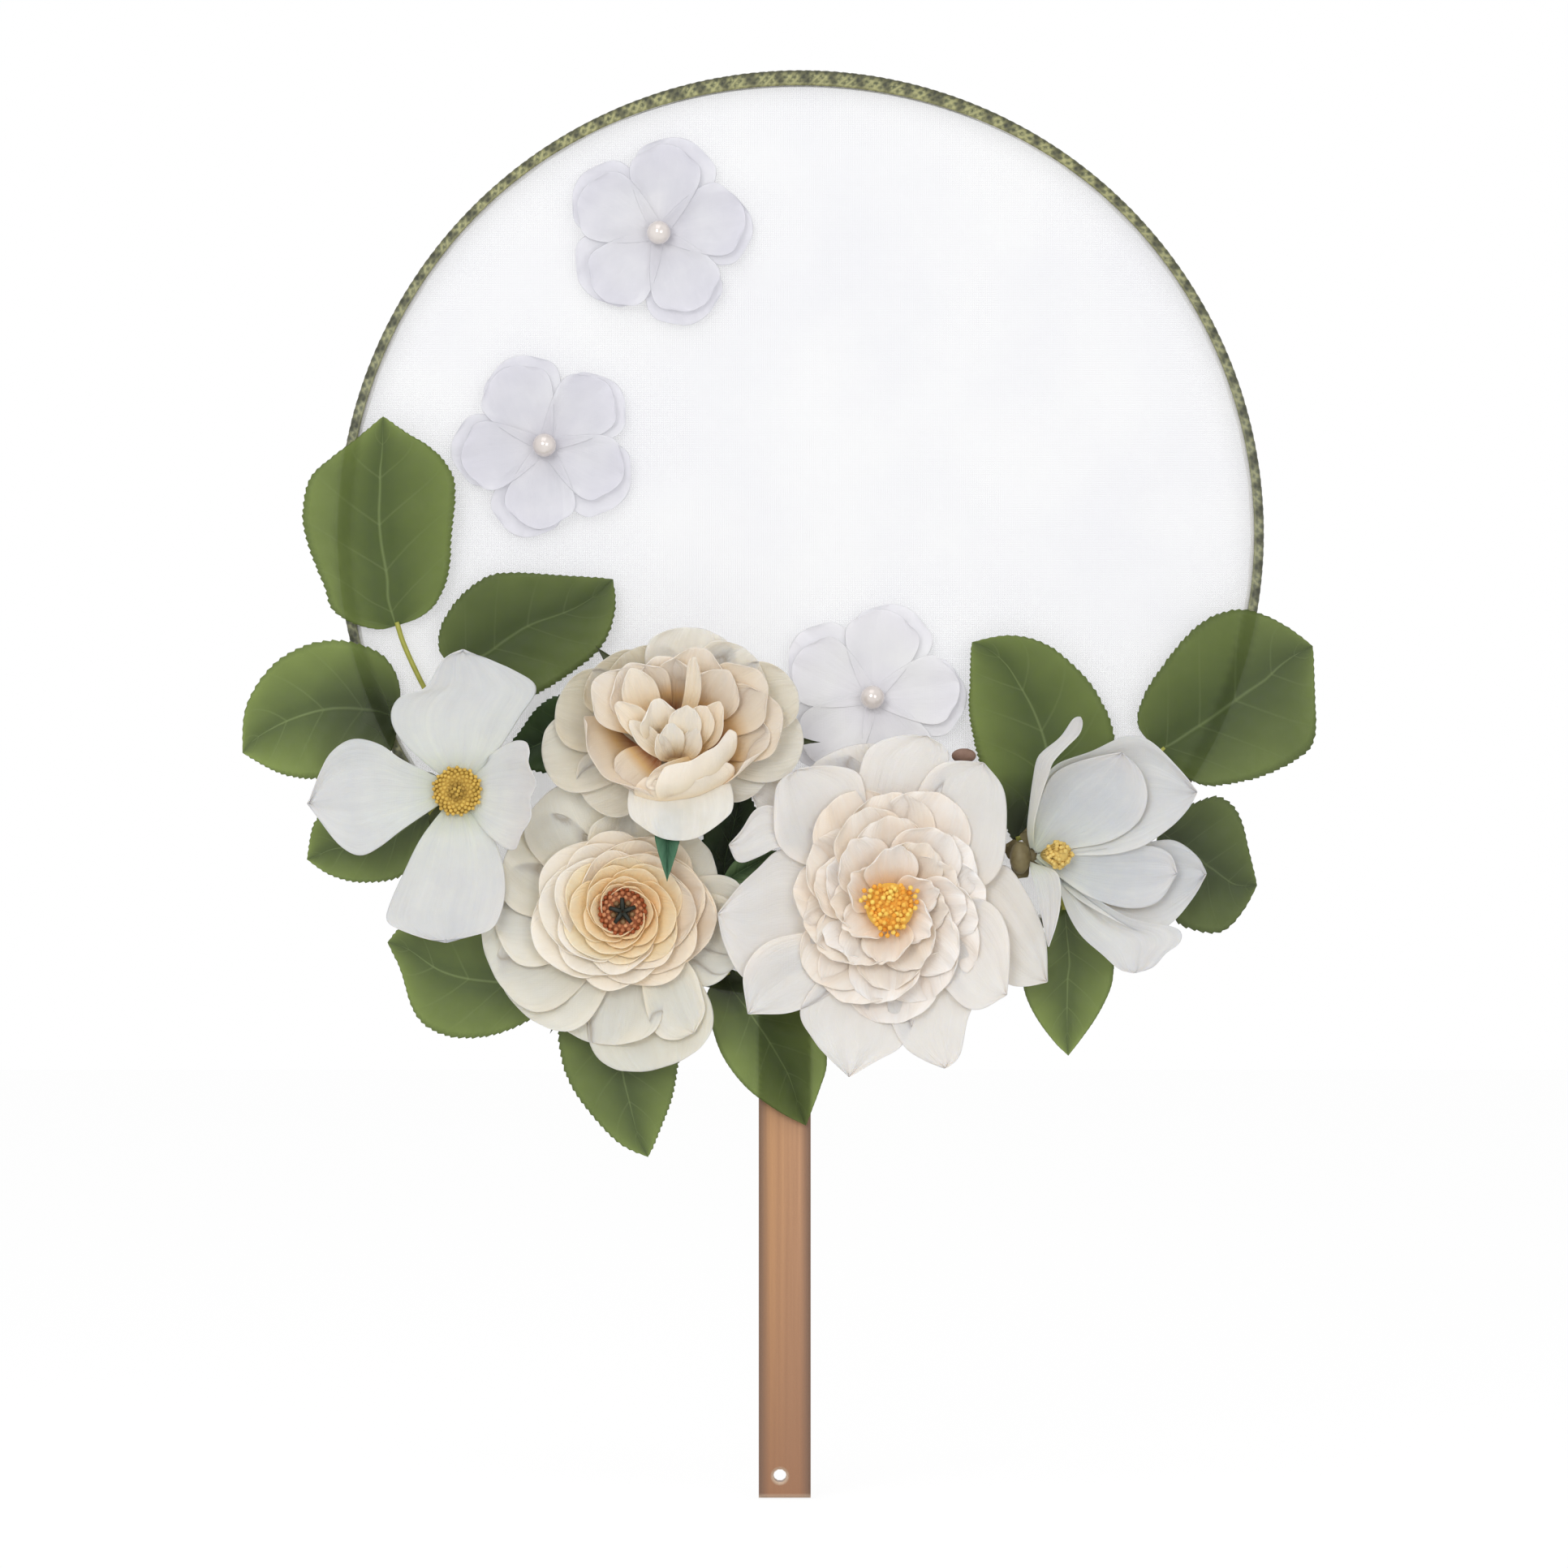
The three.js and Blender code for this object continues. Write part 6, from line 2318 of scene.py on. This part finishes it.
@dataclass
class Studio:
    """Plain pale floor, soft light, white surroundings and the camera."""

    frame_width: float = 0.4233
    distance: float = 2.0
    aim: tuple[float, float, float] = (-0.0002, 0.0, 0.1924)
    sensor: float = 36.0

    def build(self) -> None:
        """Builds the studio."""
        self.add_camera()
        self.add_floor()
        self.add_lights()
        self.add_world()
        bpy.context.scene.view_settings.view_transform = "Standard"

    def add_camera(self) -> None:
        """Adds the camera, straight in front of the fan."""
        data = bpy.data.cameras.new("camera")
        data.sensor_width = self.sensor
        data.lens = self.sensor * self.distance / self.frame_width
        camera = bpy.data.objects.new("camera", data)
        bpy.context.scene.collection.objects.link(camera)
        camera.location = (self.aim[0], -self.distance, self.aim[2])
        camera.rotation_euler = (math.radians(90), 0, 0)
        bpy.context.scene.camera = camera

    def add_floor(self) -> None:
        """Adds the pale floor, which keeps part of the shadow."""
        bm = bmesh.new()
        bmesh.ops.create_grid(bm, x_segments=2, y_segments=2, size=3.0)
        mesh = bpy.data.meshes.new("floor")
        bm.to_mesh(mesh)
        bm.free()
        material, graph, shader = new_material("pale_floor")
        graph.fill(shader, {"Base Color": (0.9, 0.9, 0.9, 1), "Roughness": 0.9})
        glow = graph.node("ShaderNodeEmission")
        glow.inputs["Strength"].default_value = 1.07
        mixer = graph.node("ShaderNodeMixShader")
        graph.feed(mixer.inputs[0], graph.times(seen_plainly(graph), 0.85))
        graph.feed(mixer.inputs[1], shader.outputs[0])
        graph.feed(mixer.inputs[2], glow.outputs[0])
        output = next(node for node in material.node_tree.nodes if node.type == "OUTPUT_MATERIAL")
        graph.feed(output.inputs["Surface"], mixer.outputs[0])
        mesh.materials.append(material)
        floor = bpy.data.objects.new("floor", mesh)
        bpy.context.scene.collection.objects.link(floor)
        floor.location.z = -0.0004

    def add_lights(self) -> None:
        """Adds two soft boxes in front and one above."""
        boxes = {
            "box_left": ((-0.6, -1.9, 0.8), 0.8, 11.5),
            "box_right": ((0.8, -1.8, 0.5), 0.8, 6.0),
            "box_top": ((-0.2, -0.8, 1.5), 1.0, 3.6),
        }
        target = Vector((0.0, 0.0, 0.2))
        for name, (place, size, power) in boxes.items():
            data = bpy.data.lights.new(name, "AREA")
            data.size = size
            data.energy = power
            light = bpy.data.objects.new(name, data)
            bpy.context.scene.collection.objects.link(light)
            light.location = place
            light.rotation_euler = (target - Vector(place)).to_track_quat("-Z", "Y").to_euler()

    def add_world(self) -> None:
        """Adds white surroundings for the eye and softer ones for the light."""
        world = bpy.data.worlds.new("studio")
        bpy.context.scene.world = world
        world.use_nodes = True
        world.node_tree.nodes.clear()
        graph = Graph(world.node_tree)
        background = graph.node("ShaderNodeBackground")
        strength = graph.plus(0.5, graph.times(seen_plainly(graph), 0.5))
        graph.fill(background, {"Color": (1.0, 1.0, 1.0, 1.0), "Strength": strength})
        output = graph.node("ShaderNodeOutputWorld")
        graph.feed(output.inputs["Surface"], background.outputs[0])


def main() -> None:
    logging.basicConfig(level=logging.INFO, format="%(name)s: %(message)s")
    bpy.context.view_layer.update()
    FanFrame().build()
    for part in (*LEAVES, *STALKS):
        part.build()
    Dogwood("dogwood", 217.1, 7.6, 11.5).build()
    Rose("rose", 238.6, 59.1, 11, calyx_slot="dark_green", long_sepals=((132.5, 31), (357, 37))).build()
    Ranunculus("ranunculus", 244.9, 10.5, 6, long_sepals=((239, 37), (297, 39))).build()
    Peony(
        "peony", 283.3, 19.7, 8.5, calyx_finish=BUD_BROWN, long_sepals=((63.5, 46),),
        pod=(20.0, 40.3, 3.0), pod_radii=(3.3, 2.0, 1.8)
    ).build()
    Magnolia(
        "magnolia", 305.5, 16.5, 9, tilt=42, calyx_finish=CALYX_BROWN, calyx_slot="dark_green",
        sepal_length=7.0, pod=(-3.0, -0.8, 4.8), pod_radii=(2.8, 4.4, 3.2)
    ).build()
    OrganzaFlower("organza_top", 115.3, 33.4, 26, 2).build()
    OrganzaFlower("organza_middle", 161.1, 49.9, 25.5, 38).build()
    # The lower organza flower takes the lighter copy of the sheer silk: painted light.
    OrganzaFlower("organza_lower", 293.6, 74.5, 26, 0, finish=SHEER_PETAL_PAINTED_LIGHT).build()
    Studio().build()


if __name__ == "__main__":
    main()
